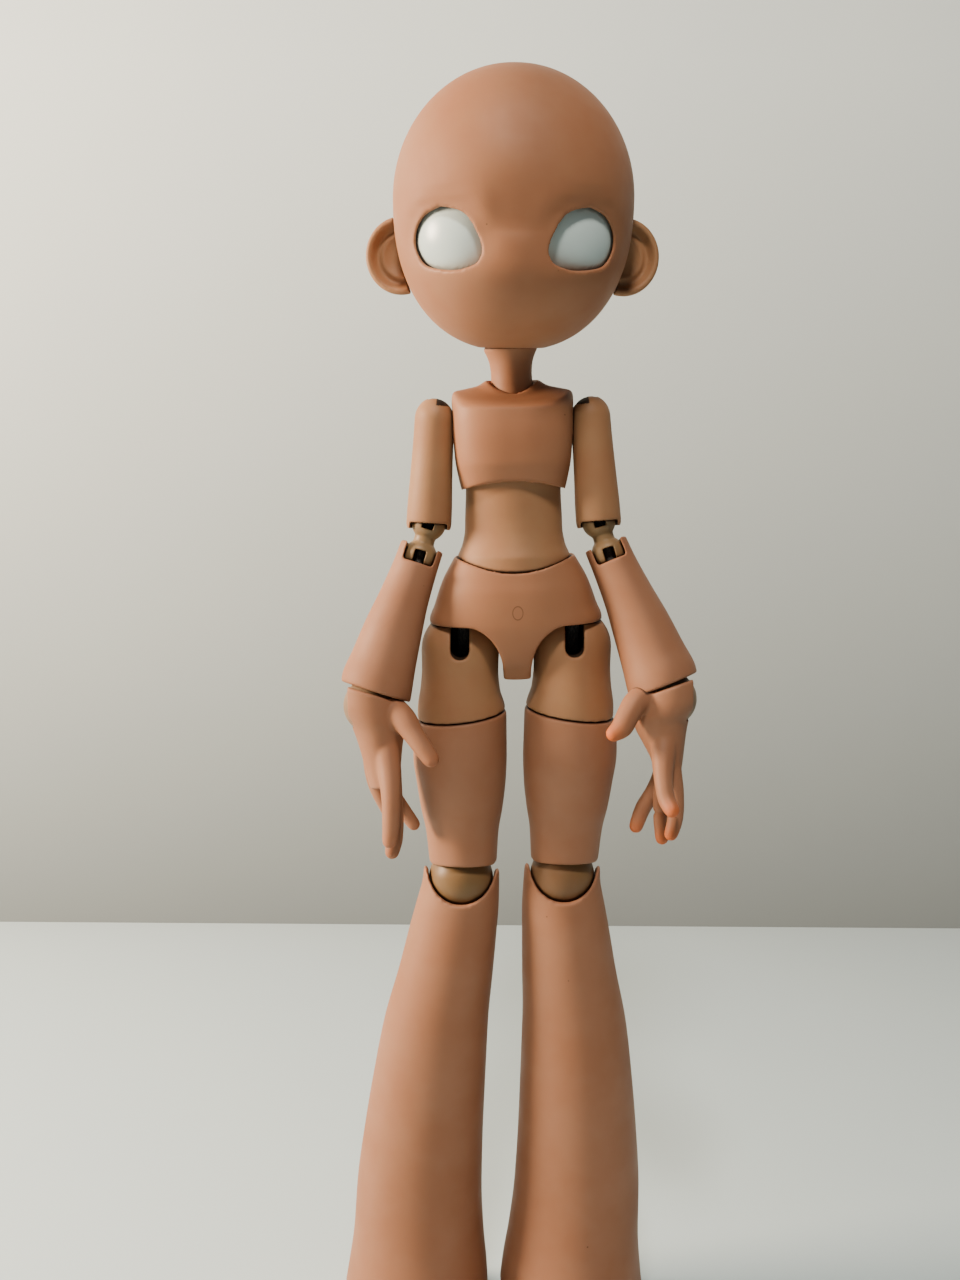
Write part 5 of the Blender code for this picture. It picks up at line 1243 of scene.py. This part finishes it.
@dataclass
class Arm:
    """One arm from the shoulder to the fingertips."""

    side: Side
    shoulder_radius: float = 5.6
    slot: float = 3.4
    upper_length: float = 26.8
    upper_width: float = 11.7
    upper_rows: tuple[Row, ...] = (
        (0.00, 0.478, 0.425, 0.478, 0.478), (0.10, 0.460, 0.428, 0.475, 0.470), (0.22, 0.455, 0.435, 0.478, 0.473),
        (0.55, 0.470, 0.465, 0.500, 0.490), (0.85, 0.497, 0.495, 0.500, 0.490), (1.00, 0.500, 0.500, 0.490, 0.470),
        (1.05, 0.475, 0.475, 0.450, 0.430),
    )
    shelf: tuple[float, float] = (0.5, 3.3)
    elbow_radius: float = 4.4
    elbow_spacing: float = 8.6
    elbow_slot: float = 3.0
    notch: float = 9.6
    bore: float = 1.9
    forearm_length: float = 37.0
    forearm_size: tuple[float, float] = (19.0, 18.4)
    forearm_notch: tuple[float, float] = (3.96, 2.18)
    forearm_rows: tuple[Row, ...] = (
        (-0.07, 0.290, 0.305, 0.290, 0.280), (0.06, 0.292, 0.318, 0.310, 0.300), (0.30, 0.308, 0.370, 0.360, 0.345),
        (0.55, 0.358, 0.442, 0.410, 0.400), (0.78, 0.413, 0.487, 0.460, 0.450), (0.93, 0.458, 0.522, 0.495, 0.490),
        (1.00, 0.478, 0.507, 0.490, 0.490),
    )
    wrist_radius: float = 7.2
    wrist_beyond: float = 3.6
    wrist_outward: float = 0.3
    palm_size: Vector = field(default_factory=lambda: Vector((19.0, 18.6, 24.4)))
    palm_below: float = 21.4
    palm_slope: float = 0.32
    palm_rows: dict[Side, tuple[Row, ...]] = field(default_factory=lambda: {
        Side.RIGHT: (
            (1.00, 0.440, 0.450, 0.470, 0.470), (0.83, 0.470, 0.440, 0.465, 0.460), (0.70, 0.465, 0.340, 0.440, 0.450),
            (0.62, 0.445, 0.265, 0.400, 0.440), (0.42, 0.410, 0.170, 0.330, 0.410), (0.20, 0.385, 0.095, 0.280, 0.370),
            (0.00, 0.355, 0.030, 0.230, 0.320),
        ),
        Side.LEFT: (
            (1.00, 0.440, 0.450, 0.470, 0.470), (0.83, 0.470, 0.440, 0.465, 0.460), (0.70, 0.480, 0.345, 0.430, 0.450),
            (0.62, 0.460, 0.270, 0.370, 0.440), (0.42, 0.350, 0.220, 0.300, 0.410), (0.20, 0.230, 0.180, 0.250, 0.370),
            (0.00, 0.200, 0.135, 0.210, 0.320),
        ),
    })
    slit: tuple[float, float] = (5.8, 4.3)
    hand_length: float = 46.0
    fingers: dict[Side, tuple[tuple[Row, ...], ...]] = field(default_factory=lambda: {
        Side.RIGHT: (
            ((-0.070, 0.045, 0.190, 0.080), (-0.095, 0.105, 0.350, 0.064), (-0.106, 0.152, 0.519, 0.054),
             (-0.104, 0.163, 0.654, 0.050), (-0.097, 0.163, 0.741, 0.044)),
            ((-0.102, 0.022, 0.224, 0.056), (-0.110, 0.033, 0.391, 0.055), (-0.119, 0.043, 0.584, 0.053),
             (-0.123, 0.054, 0.722, 0.049), (-0.105, 0.054, 0.815, 0.042)),
            ((-0.010, -0.060, 0.228, 0.064), (-0.006, -0.080, 0.306, 0.064), (-0.030, -0.085, 0.446, 0.060),
             (-0.085, -0.090, 0.590, 0.047), (-0.115, -0.085, 0.650, 0.041)),
            ((-0.040, -0.140, 0.231, 0.052), (-0.045, -0.160, 0.347, 0.049), (-0.078, -0.175, 0.464, 0.046),
             (-0.150, -0.190, 0.581, 0.044), (-0.225, -0.200, 0.691, 0.039)),
            ((-0.100, 0.050, 0.020, 0.090), (-0.180, 0.130, 0.080, 0.074), (-0.238, 0.174, 0.165, 0.059),
             (-0.286, 0.196, 0.236, 0.054), (-0.328, 0.207, 0.296, 0.048)),
        ),
        Side.LEFT: (
            ((-0.030, 0.045, 0.200, 0.080), (-0.045, 0.110, 0.350, 0.062), (-0.045, 0.152, 0.471, 0.051),
             (-0.032, 0.174, 0.551, 0.049), (-0.008, 0.207, 0.602, 0.045)),
            ((-0.009, 0.022, 0.259, 0.054), (0.016, 0.033, 0.425, 0.052), (0.029, 0.043, 0.563, 0.048),
             (0.021, 0.054, 0.672, 0.045), (-0.002, 0.054, 0.750, 0.040)),
            ((-0.006, -0.076, 0.264, 0.052), (-0.023, -0.098, 0.434, 0.050), (-0.041, -0.109, 0.576, 0.047),
             (-0.043, -0.109, 0.690, 0.044), (-0.040, -0.098, 0.790, 0.040)),
            ((-0.011, -0.152, 0.267, 0.050), (-0.028, -0.174, 0.411, 0.049), (-0.073, -0.196, 0.527, 0.048),
             (-0.137, -0.207, 0.631, 0.047), (-0.178, -0.207, 0.734, 0.042)),
            ((-0.110, 0.060, -0.020, 0.085), (-0.190, 0.130, 0.020, 0.072), (-0.236, 0.170, 0.085, 0.065),
             (-0.272, 0.192, 0.150, 0.061), (-0.316, 0.205, 0.185, 0.047)),
        ),
    })
    blush: dict[Side, float] = field(default_factory=lambda: {Side.RIGHT: 0.25, Side.LEFT: 1.0})

    def build(self) -> None:
        """Builds the five pieces."""
        self.build_upper_arm()
        self.build_elbow_link()
        self.build_forearm()
        self.build_wrist()
        self.build_hand()

    def _where(self, piece: str) -> Matrix:
        """Gives the frame of one of this arm's pieces."""
        return STANCE.frames[f"{piece}_{self.side.label}"]

    def _rings(self, rows: Sequence[Row], drop: float, width: float, depth: float) -> list[Ring]:
        """Turns rows of shares into rings down the limb."""
        rings = []
        for down, inner, outer, front, back in dense(rows, 0.03):
            rings.append(section(self.side.value, -down * drop, inner * width, outer * width, front * depth,
                                 back * depth))
        return rings

    def build_upper_arm(self) -> None:
        """Builds the slotted shoulder ball, the shaft and the cup for the elbow."""
        side = self.side.value
        rings = self._rings(self.upper_rows, self.upper_length, self.upper_width, self.upper_width)
        top = []
        for step in range(1, 15):
            angle = math.pi / 2 * step / 14.2
            rise = Vector((0.0, 0.0, self.shoulder_radius * math.sin(angle)))
            top.append([point * math.cos(angle) + rise for point in rings[0]])
        arm = Casting(f"upper_arm_casting_{self.side.label}", grow(list(reversed(top)) + rings))
        half = self.slot / 2
        reach = 2 * self.shoulder_radius
        arm.cut(block(Vector((-side * reach, -half, 0.0)), Vector((side * half, half, reach))),
                rod(Vector((-side * reach, 0.0, 0.0)), Vector((side * half, 0.0, 0.0)), half),
                ball(self.elbow_radius + CLEAR, Vector((0.0, 0.0, -self.upper_length))),
                rod(Vector((0.0, 0.0, -half)), Vector((0.0, 0.0, -self.upper_length)), self.bore))
        width = self.notch / 2
        rim = Vector((width, 0.0, -self.upper_length + CLEAR))
        arm.cut(block(Vector((-width, -self.upper_width, rim.z - self.upper_width)), rim))
        arm.soften(0.26, 4)
        # painted shade: the inner top of the shoulder ball is painted black, as the shaded gap between arm and chest
        inner, level = self.shelf
        arm.paint("soot", lambda place: 0.95 if place.z > level and -side * place.x > inner else 0.0)
        arm.finish(self._where("upper_arm"), f"upper_arm_{self.side.label}", [f"upper_arm_{self.side.label}"],
                   PALE_RESIN)

    def build_elbow_link(self) -> None:
        """Builds the double elbow ball with its slots open at the front."""
        below = Vector((0.0, 0.0, -self.elbow_spacing))
        link = Casting(f"elbow_link_casting_{self.side.label}", ball(self.elbow_radius))
        link.fuse(ball(self.elbow_radius, below), rod(Vector(), below, 0.62 * self.elbow_radius))
        half = self.elbow_slot / 2
        reach = 2 * self.elbow_radius
        link.cut(rod(Vector((0.0, 0.0, reach)), below - Vector((0.0, 0.0, reach)), self.bore),
                 block(Vector((-half, -reach, -half)), Vector((half, half, reach))),
                 block(Vector((-half, -reach, below.z - reach)), Vector((half, half, below.z + half))))
        link.soften(0.22, 4)
        link.finish(self._where("elbow_link"), f"elbow_{self.side.label}", [f"elbow_link_{self.side.label}"],
                    BONE_RESIN)

    def build_forearm(self) -> None:
        """Builds the flared forearm with its elbow cup above and the wide cuff below."""
        width, depth = self.forearm_size
        rings = self._rings(self.forearm_rows, self.forearm_length, width, depth)
        wrist = Vector((self.side.value * self.wrist_outward, 0.0, -self.forearm_length - self.wrist_beyond))
        forearm = Casting(f"forearm_casting_{self.side.label}", grow(rings))
        half, drop = self.forearm_notch
        forearm.cut(ball(self.elbow_radius + CLEAR), ball(self.wrist_radius + CLEAR, wrist),
                    rod(Vector(), Vector((0.0, 0.0, wrist.z)), self.bore),
                    block(Vector((-half, -depth, -drop)), Vector((half, 0.0, depth))))
        forearm.soften(0.34, 5)
        forearm.finish(self._where("forearm"), f"forearm_{self.side.label}", [f"forearm_{self.side.label}"],
                       LIMB_RESIN)

    def build_wrist(self) -> None:
        """Builds the wrist ball with its bore."""
        wrist = Casting(f"wrist_ball_casting_{self.side.label}", ball(self.wrist_radius))
        reach = 2 * self.wrist_radius
        wrist.cut(rod(Vector((0.0, 0.0, -reach)), Vector((0.0, 0.0, reach)), self.bore))
        wrist.soften(0.3, 3)
        wrist.finish(self._where("wrist"), f"wrist_{self.side.label}", [f"wrist_ball_{self.side.label}"],
                     WRIST_RESIN)

    def build_hand(self) -> None:
        """Builds the cupped palm with four fingers and a thumb, and blushes the tips."""
        side = self.side.value
        size = self.palm_size
        rings = []
        for up, inner, outer, front, back in dense(self.palm_rows[self.side], 0.04):
            rings.append(section(side, up * size.z - self.palm_below, inner * size.x, outer * size.x, front * size.y,
                                 back * size.y, self.palm_slope * up * up))
        hand = Casting(f"hand_casting_{self.side.label}", grow(rings))
        tips = []
        for joints in self.fingers[self.side]:
            points = curve_through(joints, 6)
            line = [Vector((side * out, -ahead, -down)) * self.hand_length for out, ahead, down, _ in points]
            radii = [thick * self.hand_length for _, _, _, thick in points]
            along = (line[-1] - line[-2]).normalized()
            last = radii[-1]
            for turn in (30.0, 55.0, 75.0, 86.0):
                angle = math.radians(turn)
                line.append(line[len(points) - 1] + along * last * math.sin(angle))
                radii.append(last * math.cos(angle))
            tips.append(line[-1].copy())
            hand.join(spine(line, radii))
        hand.soften(0.3, 7)
        hand.cut(ball(self.wrist_radius + CLEAR))
        reach = 2 * size.x
        out, below = self.slit
        hand.cut(block(Vector((side * out, -reach, -below)), Vector((side * reach, reach, reach))))
        hand.soften(0.3, 4)
        most = self.blush[self.side]
        hand.paint("blush", lambda place: most * max(math.exp(-((place - tip).length / 3.4) ** 2) for tip in tips))
        name = self.side.label
        piece = hand.finish(self._where("hand"), f"hand_{name}", [f"hand_{name}"], LIMB_RESIN, seams=False)
        mark_seams(piece, [f"hand_{name}", f"wrist_ball_{name}"])


@dataclass
class Leg:
    """One leg from the hip to the sole."""

    side: Side
    hip_aside: float = 14.8
    hip_radius: float = 10.3
    hip_length: float = 17.6
    hip_size: tuple[float, float] = (23.4, 25.0)
    slot: float = 4.8
    slot_below: float = 1.5
    cut_slope: float = 0.125
    hip_rows: tuple[Row, ...] = (
        (0.00, 0.440, 0.440, 0.412, 0.412, 0.0), (0.30, 0.433, 0.436, 0.425, 0.430, 0.0),
        (0.60, 0.452, 0.452, 0.460, 0.460, 0.0), (0.85, 0.500, 0.482, 0.490, 0.490, 0.5),
        (1.00, 0.520, 0.484, 0.500, 0.500, 1.0),
    )
    spigot: tuple[float, float] = (6.6, 2.0)
    thigh_length: float = 35.9
    thigh_size: tuple[float, float] = (25.4, 26.0)
    thigh_rows: tuple[Row, ...] = (
        (0.000, 0.478, 0.447, 0.480, 0.480, 1.0), (0.030, 0.488, 0.462, 0.490, 0.490, 1.0),
        (0.160, 0.493, 0.487, 0.500, 0.505, 0.5), (0.330, 0.498, 0.492, 0.490, 0.510, 0.0),
        (0.520, 0.488, 0.457, 0.455, 0.475, 0.0), (0.720, 0.458, 0.412, 0.410, 0.420, 0.0),
        (0.900, 0.418, 0.357, 0.375, 0.375, 0.0), (1.147, 0.400, 0.319, 0.355, 0.350, 0.0),
    )
    scoop: tuple[Row, ...] = (
        (-1.0, -2.0), (-1.0, -0.30), (-0.70, -0.31), (-0.30, -0.39), (0.05, -0.38), (0.28, -0.20), (0.46, 0.10),
        (0.60, 0.25), (0.80, 0.40), (1.00, 0.56), (2.00, 1.20), (2.00, -2.0),
    )
    knee_inward: float = 1.0
    knee_radii: tuple[float, float] = (8.2, 8.75)
    knee_spacing: float = 10.0
    bore: float = 2.5
    shin_length: float = 93.0
    shin_size: tuple[float, float] = (41.4, 38.0)
    shin_drop: float = 122.0
    ankle_outward: float = 8.2
    ankle_seat: float = 35.0
    shin_rows: tuple[Row, ...] = (
        (-0.024, 0.250, 0.247, 0.236, 0.236), (0.000, 0.253, 0.250, 0.242, 0.242), (0.060, 0.257, 0.288, 0.262, 0.275),
        (0.125, 0.250, 0.332, 0.285, 0.310), (0.220, 0.237, 0.392, 0.312, 0.345), (0.340, 0.219, 0.478, 0.340, 0.375),
        (0.460, 0.216, 0.535, 0.368, 0.395), (0.600, 0.214, 0.590, 0.398, 0.410), (0.740, 0.221, 0.632, 0.428, 0.430),
        (0.860, 0.248, 0.646, 0.478, 0.460), (0.940, 0.279, 0.671, 0.545, 0.485), (0.995, 0.293, 0.692, 0.600, 0.500),
    )
    saddle_share: float = 0.55
    hollow: tuple[Row, ...] = (
        (0.10, 1.00), (0.10, 0.30), (0.55, -0.25), (1.00, -0.80), (1.60, -1.25), (2.40, -1.50), (2.40, 1.00),
    )
    foot_size: tuple[float, float] = (40.6, 64.0)
    foot_rim: float = 15.0
    foot_power: float = 2.3
    sole_below: float = 42.5
    foot_rows: tuple[Row, ...] = (
        (0.00, 0.440, 0.440, 0.600, 0.270), (0.03, 0.470, 0.470, 0.645, 0.290), (0.10, 0.485, 0.485, 0.665, 0.300),
        (0.26, 0.500, 0.500, 0.690, 0.310), (0.48, 0.498, 0.498, 0.650, 0.312), (0.66, 0.492, 0.492, 0.560, 0.308),
        (0.80, 0.486, 0.486, 0.440, 0.302),
    )
    well: tuple[float, float] = (3.4, 5.4)

    def build(self) -> None:
        """Builds the five pieces."""
        self.build_hip()
        self.build_thigh()
        self.build_knee_link()
        self.build_shin()
        self.build_foot()

    def _finish(self, casting: Casting, piece: str, body: str, material: Material) -> None:
        """Finishes one of this leg's pieces."""
        name = self.side.label
        casting.finish(STANCE.frames[f"{piece}_{name}"], f"{body}_{name}", [f"{piece}_{name}"], material)

    def _sloped(self, rows: Sequence[Row], drop: float, size: tuple[float, float], gap: float = 0.03) -> list[Ring]:
        """Turns rows of shares, the last of which is how much of the cut's slope they have, into rings."""
        width, depth = size
        rings = []
        for down, inner, outer, front, back, tilt in dense(rows, gap):
            rings.append(section(self.side.value, -down * drop, inner * width, outer * width, front * depth,
                                 back * depth, -self.cut_slope * tilt))
        return rings

    def _swivel(self, radius: float, low: float, high: float) -> BMesh:
        """Makes a disc square to the sloped cut, between two depths under the cut's middle."""
        side = self.side.value
        down = Vector((-side * self.cut_slope, 0.0, -1.0)).normalized()
        return rod(down * low, down * high, radius, 72)

    def build_hip(self) -> None:
        """Builds the slotted hip ball over the flat swivel face with its spigot."""
        rings = self._sloped(self.hip_rows, self.hip_length, self.hip_size)
        top = dome(rings[0], Vector(), Vector([self.hip_radius] * 3), 1, PINHOLE)
        hip = Casting(f"hip_casting_{self.side.label}", grow(list(reversed(top[1:])) + rings))
        radius, depth = self.spigot
        spigot = self._swivel(radius, -1.0, depth)
        bmesh.ops.translate(spigot, vec=Vector((0.0, 0.0, -self.hip_length)), verts=spigot.verts[:])
        hip.fuse(spigot)
        half = self.slot / 2
        reach = 2 * self.hip_radius
        foot = half - self.slot_below
        hip.cut(block(Vector((-half, -reach, foot)), Vector((half, half, reach))),
                rod(Vector((0.0, -reach, foot)), Vector((0.0, 0.0, foot)), half),
                rod(Vector((0.0, 0.0, foot)), Vector((0.0, 0.0, -2 * self.hip_length)), self.bore))
        hip.soften(0.38, 4)
        # painted shade: the slot's walls deep in the ball are painted black
        hip.paint("soot", lambda place: self._in_slot(place, half, foot))
        self._finish(hip, "hip", "hip", PALE_RESIN)

    def _in_slot(self, place: Vector, half: float, foot: float) -> float:
        """Gives how much painted black shade a place takes: the slot's walls deep inside the ball are painted black as
        shade.
        """
        inside = abs(place.x) < half + 0.2 and place.y < half + 0.2 and place.z > foot - half - 0.2
        deep = math.hypot(place.x, place.y, place.z) < self.hip_radius - 0.7
        return 0.92 if inside and deep else 0.0

    def build_thigh(self) -> None:
        """Builds the thigh: the swivel face above and the scooped knee cup below."""
        side = self.side.value
        rings = self._sloped(self.thigh_rows, self.thigh_length, self.thigh_size)
        rings[0] = [point - Vector((0.0, 0.0, CLEAR)) for point in rings[0]]
        thigh = Casting(f"thigh_casting_{self.side.label}", grow(rings))
        radius, depth = self.spigot
        knee = Vector((-side * self.knee_inward, 0.0, -self.thigh_length))
        half = self.thigh_size[1] / 2
        outline = [(back * half, knee.z + up * half) for back, up in self.scoop]
        thigh.cut(self._swivel(radius + CLEAR, -2.0, depth + 2 * CLEAR), rod(Vector(), knee, self.bore),
                  ball(self.knee_radii[0] + CLEAR, knee), slab(outline, self.thigh_size[0], True))
        thigh.soften(0.4, 4)
        self._finish(thigh, "thigh", "thigh", LIMB_RESIN)

    def build_knee_link(self) -> None:
        """Builds the double knee ball with its bore."""
        upper, lower = self.knee_radii
        below = Vector((0.0, 0.0, -self.knee_spacing))
        link = Casting(f"knee_link_casting_{self.side.label}", ball(upper))
        link.fuse(ball(lower, below))
        link.cut(rod(Vector((0.0, 0.0, 2 * upper)), below * 3, self.bore))
        link.soften(0.3, 4)
        self._finish(link, "knee_link", "knee", LINK_RESIN)

    def build_shin(self) -> None:
        """Builds the bell-shaped shin with its scooped cup above and the rounded hem that sits in the foot."""
        side = self.side.value
        width, depth = self.shin_size
        rings = []
        for down, inner, outer, front, back in dense(self.shin_rows, 0.02):
            rings.append(section(side, -down * self.shin_drop, inner * width, outer * width, front * depth,
                                 back * depth))
        ankle = Vector((side * self.ankle_outward, 0.0, -self.shin_length))
        hem = dome(rings[-1], ankle, Vector([self.ankle_seat] * 3), -1, PINHOLE)
        shin = Casting(f"shin_casting_{self.side.label}", grow(rings[:-2] + hem))
        lower = self.knee_radii[1]
        saddle = lower + 2 * CLEAR
        rise = saddle - self.saddle_share * lower
        outline = [(back * lower, up * lower) for back, up in self.hollow]
        shin.cut(ball(lower + CLEAR),
                 rod(Vector((0.0, -depth, rise)), Vector((0.0, depth, rise)), saddle),
                 slab(outline, width, True),
                 rod(Vector(), ankle - Vector((0.0, 0.0, self.ankle_seat + 2.0)), self.bore))
        shin.soften(0.56, 4)
        self._finish(shin, "shin", "shin", LIMB_RESIN)

    def build_foot(self) -> None:
        """Builds the flat-soled foot with the wide dish that carries the shin."""
        side = self.side.value
        width, length = self.foot_size
        sole = -STANCE.frames[f"foot_{self.side.label}"].translation.z / MM
        rings = []
        for up, inner, outer, front, back in dense(self.foot_rows, 0.04):
            rings.append(section(side, sole + up * self.foot_rim, inner * width, outer * width, front * length,
                                 back * length, 0.0, self.foot_power))
        foot = Casting(f"foot_casting_{self.side.label}", grow(rings))
        radius, depth = self.well
        dish = self.ankle_seat + CLEAR
        foot.cut(ball(dish), rod(Vector((0.0, 0.0, -dish - depth)), Vector(), radius))
        foot.soften(0.5, 3)
        self._finish(foot, "foot", "foot", LIMB_RESIN)


@dataclass
class Stringing:
    """The cords and hooks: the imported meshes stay, under their own finishes, and the seen ones get a braid."""

    yarns: int = 16
    rise: float = 0.1
    aside: dict[str, float] = field(default_factory=lambda: {"cord_hip_slot_right": 0.9})

    def build(self) -> None:
        """Braids the cords and dresses the hooks."""
        for name, node in frame["nodes"].items():
            if name.startswith("cord_hip_slot") or name.startswith("cord_elbow"):
                self.braid(name)
            elif name.startswith("cord"):
                self.dress(node, ELASTIC)
            elif "hook" in name:
                self.dress(node, STEEL)

    @staticmethod
    def dress(node: Object, material: Material) -> None:
        """Gives a kept CAD node its finish."""
        node.data.materials.clear()
        node.data.materials.append(material)
        for polygon in node.data.polygons:
            polygon.use_smooth = True

    def braid(self, name: str) -> None:
        """Builds a braided cord on the line of a straight CAD stretch.

        Args:
            name: the CAD node.
        """
        mesh = frame["nodes"][name].data
        verts = [vert.co / MM for vert in mesh.vertices]
        middle = sum(verts, Vector()) / len(verts)
        axis = self._axis(name)
        reach = max(abs((vert - middle).dot(axis)) for vert in verts)
        radius = max(((vert - middle) - axis * (vert - middle).dot(axis)).length for vert in verts)
        steps = max(8, round(2 * reach / 0.12))
        aside = Vector((self.aside.get(name, 0.0), -0.5, 0.0))
        points = [middle + aside + axis * reach * (2 * step / steps - 1) for step in range(steps + 1)]
        count = self.yarns

        def swell(angle: float, way: float) -> float:
            """Gives the crossed yarns' relief."""
            first = math.cos(count / 2 * angle + 2.4 * way)
            second = math.cos(count / 2 * angle - 2.4 * way)
            return 1.0 - self.rise + self.rise * max(first, second)

        cord = Casting(f"{name}_braid", spine(points, [radius] * len(points), 6 * count, swell))
        cord.finish(Matrix(), BODY_OF[name], [name], ELASTIC, seams=False)

    @staticmethod
    def _axis(name: str) -> Vector:
        """Gives the direction of a straight cord from the frame of the piece it runs in."""
        piece = name.replace("cord_hip_slot", "hip").replace("cord_elbow", "elbow_link")
        return (STANCE.frames[piece].to_3x3() @ Vector((0.0, 0.0, 1.0))).normalized()


@dataclass
class Studio:
    """The table, the wall, the soft lights and the camera."""

    camera_at: Vector = field(default_factory=lambda: Vector((-10.8, -334.8, 260.0)))
    pitch: float = -9.8
    roll: float = 0.4
    lens: float = 37.0
    wall_at: float = 308.0
    reach: float = 2600.0

    def build(self) -> None:
        """Sets the studio up."""
        self.build_ground()
        self.build_lights()
        self.build_camera()

    def _panel(self, name: str, matrix: Matrix, material: Material) -> Object:
        """Makes a large square of the table or the wall."""
        skin = bmesh.new()
        bmesh.ops.create_grid(skin, x_segments=1, y_segments=1, size=self.reach * MM / 2, matrix=matrix)
        panel = make_object(name, skin)
        panel.data.materials.append(material)
        return panel

    def build_ground(self) -> None:
        """Builds the pale table and the wall behind it."""
        middle = self.wall_at * MM
        half = self.reach * MM / 2
        table = Ground("table_laminate", "C0D2D9", "BCCED6", 0.55, 60.0).material()
        wall = Ground("wall_paint", "D2DEE1", "CDD9DC", 0.85, 90.0, 0.33).material()
        self._panel("table", Matrix.Translation((0.0, middle - half, -0.05 * MM)), table)
        upright = Matrix.Rotation(math.radians(90.0), 4, "X")
        self._panel("wall", Matrix.Translation((0.0, middle, half)) @ upright, wall)

    def _area(self, name: str, place: Vector, target: Vector, size: float, watts: float, colour: str) -> None:
        """Adds one soft light.

        Args:
            name: the light's name.
            place: where it hangs, in millimetres.
            target: what it looks at.
            size: its width, in millimetres.
            watts: its power.
            colour: its colour.
        """
        light = bpy.data.lights.new(name, "AREA")
        light.shape = "DISK"
        light.size = size * MM
        light.energy = watts
        light.color = linear(colour)[:3]
        lamp = bpy.data.objects.new(name, light)
        bpy.context.scene.collection.objects.link(lamp)
        lamp.location = place * MM
        lamp.rotation_euler = (target - place).to_track_quat("-Z", "Y").to_euler()

    def build_lights(self) -> None:
        """Hangs the warm key at the doll's right, the lamp overhead and the room's glow."""
        self._area("key", Vector((-700.0, -50.0, 420.0)), Vector((0.0, 0.0, 200.0)), 240.0, 19.0, "FFE3C4")
        self._area("ceiling", Vector((-60.0, -420.0, 900.0)), Vector((0.0, 0.0, 180.0)), 130.0, 6.6, "FFF3E4")
        world = bpy.context.scene.world or bpy.data.worlds.new("room")
        bpy.context.scene.world = world
        world.use_nodes = True
        glow = world.node_tree.nodes["Background"]
        glow.inputs["Color"].default_value = linear("E8ECEF")
        glow.inputs["Strength"].default_value = 0.13

    def build_camera(self) -> None:
        """Places the camera as the photograph has it."""
        data = bpy.data.cameras.new("camera")
        data.sensor_fit = "VERTICAL"
        data.sensor_height = 36.0
        data.lens = self.lens
        data.clip_start = 10 * MM
        camera = bpy.data.objects.new("camera", data)
        bpy.context.scene.collection.objects.link(camera)
        camera.location = self.camera_at * MM
        turn = Matrix.Rotation(math.radians(90.0 + self.pitch), 4, "X") @ Matrix.Rotation(math.radians(self.roll), 4, "Z")
        camera.rotation_euler = turn.to_euler()
        bpy.context.scene.camera = camera


BODY_OF = {node: body for body, nodes in frame["record"]["behaviour"]["bodies"].items() for node in nodes}


def main() -> None:
    """Builds the whole scene."""
    logging.basicConfig(level=logging.INFO, format="%(name)s: %(message)s")
    Torso().build()
    Head().build()
    for side in Side:
        Arm(side).build()
        Leg(side).build()
    Stringing().build()
    Studio().build()


if __name__ == "__main__":
    main()
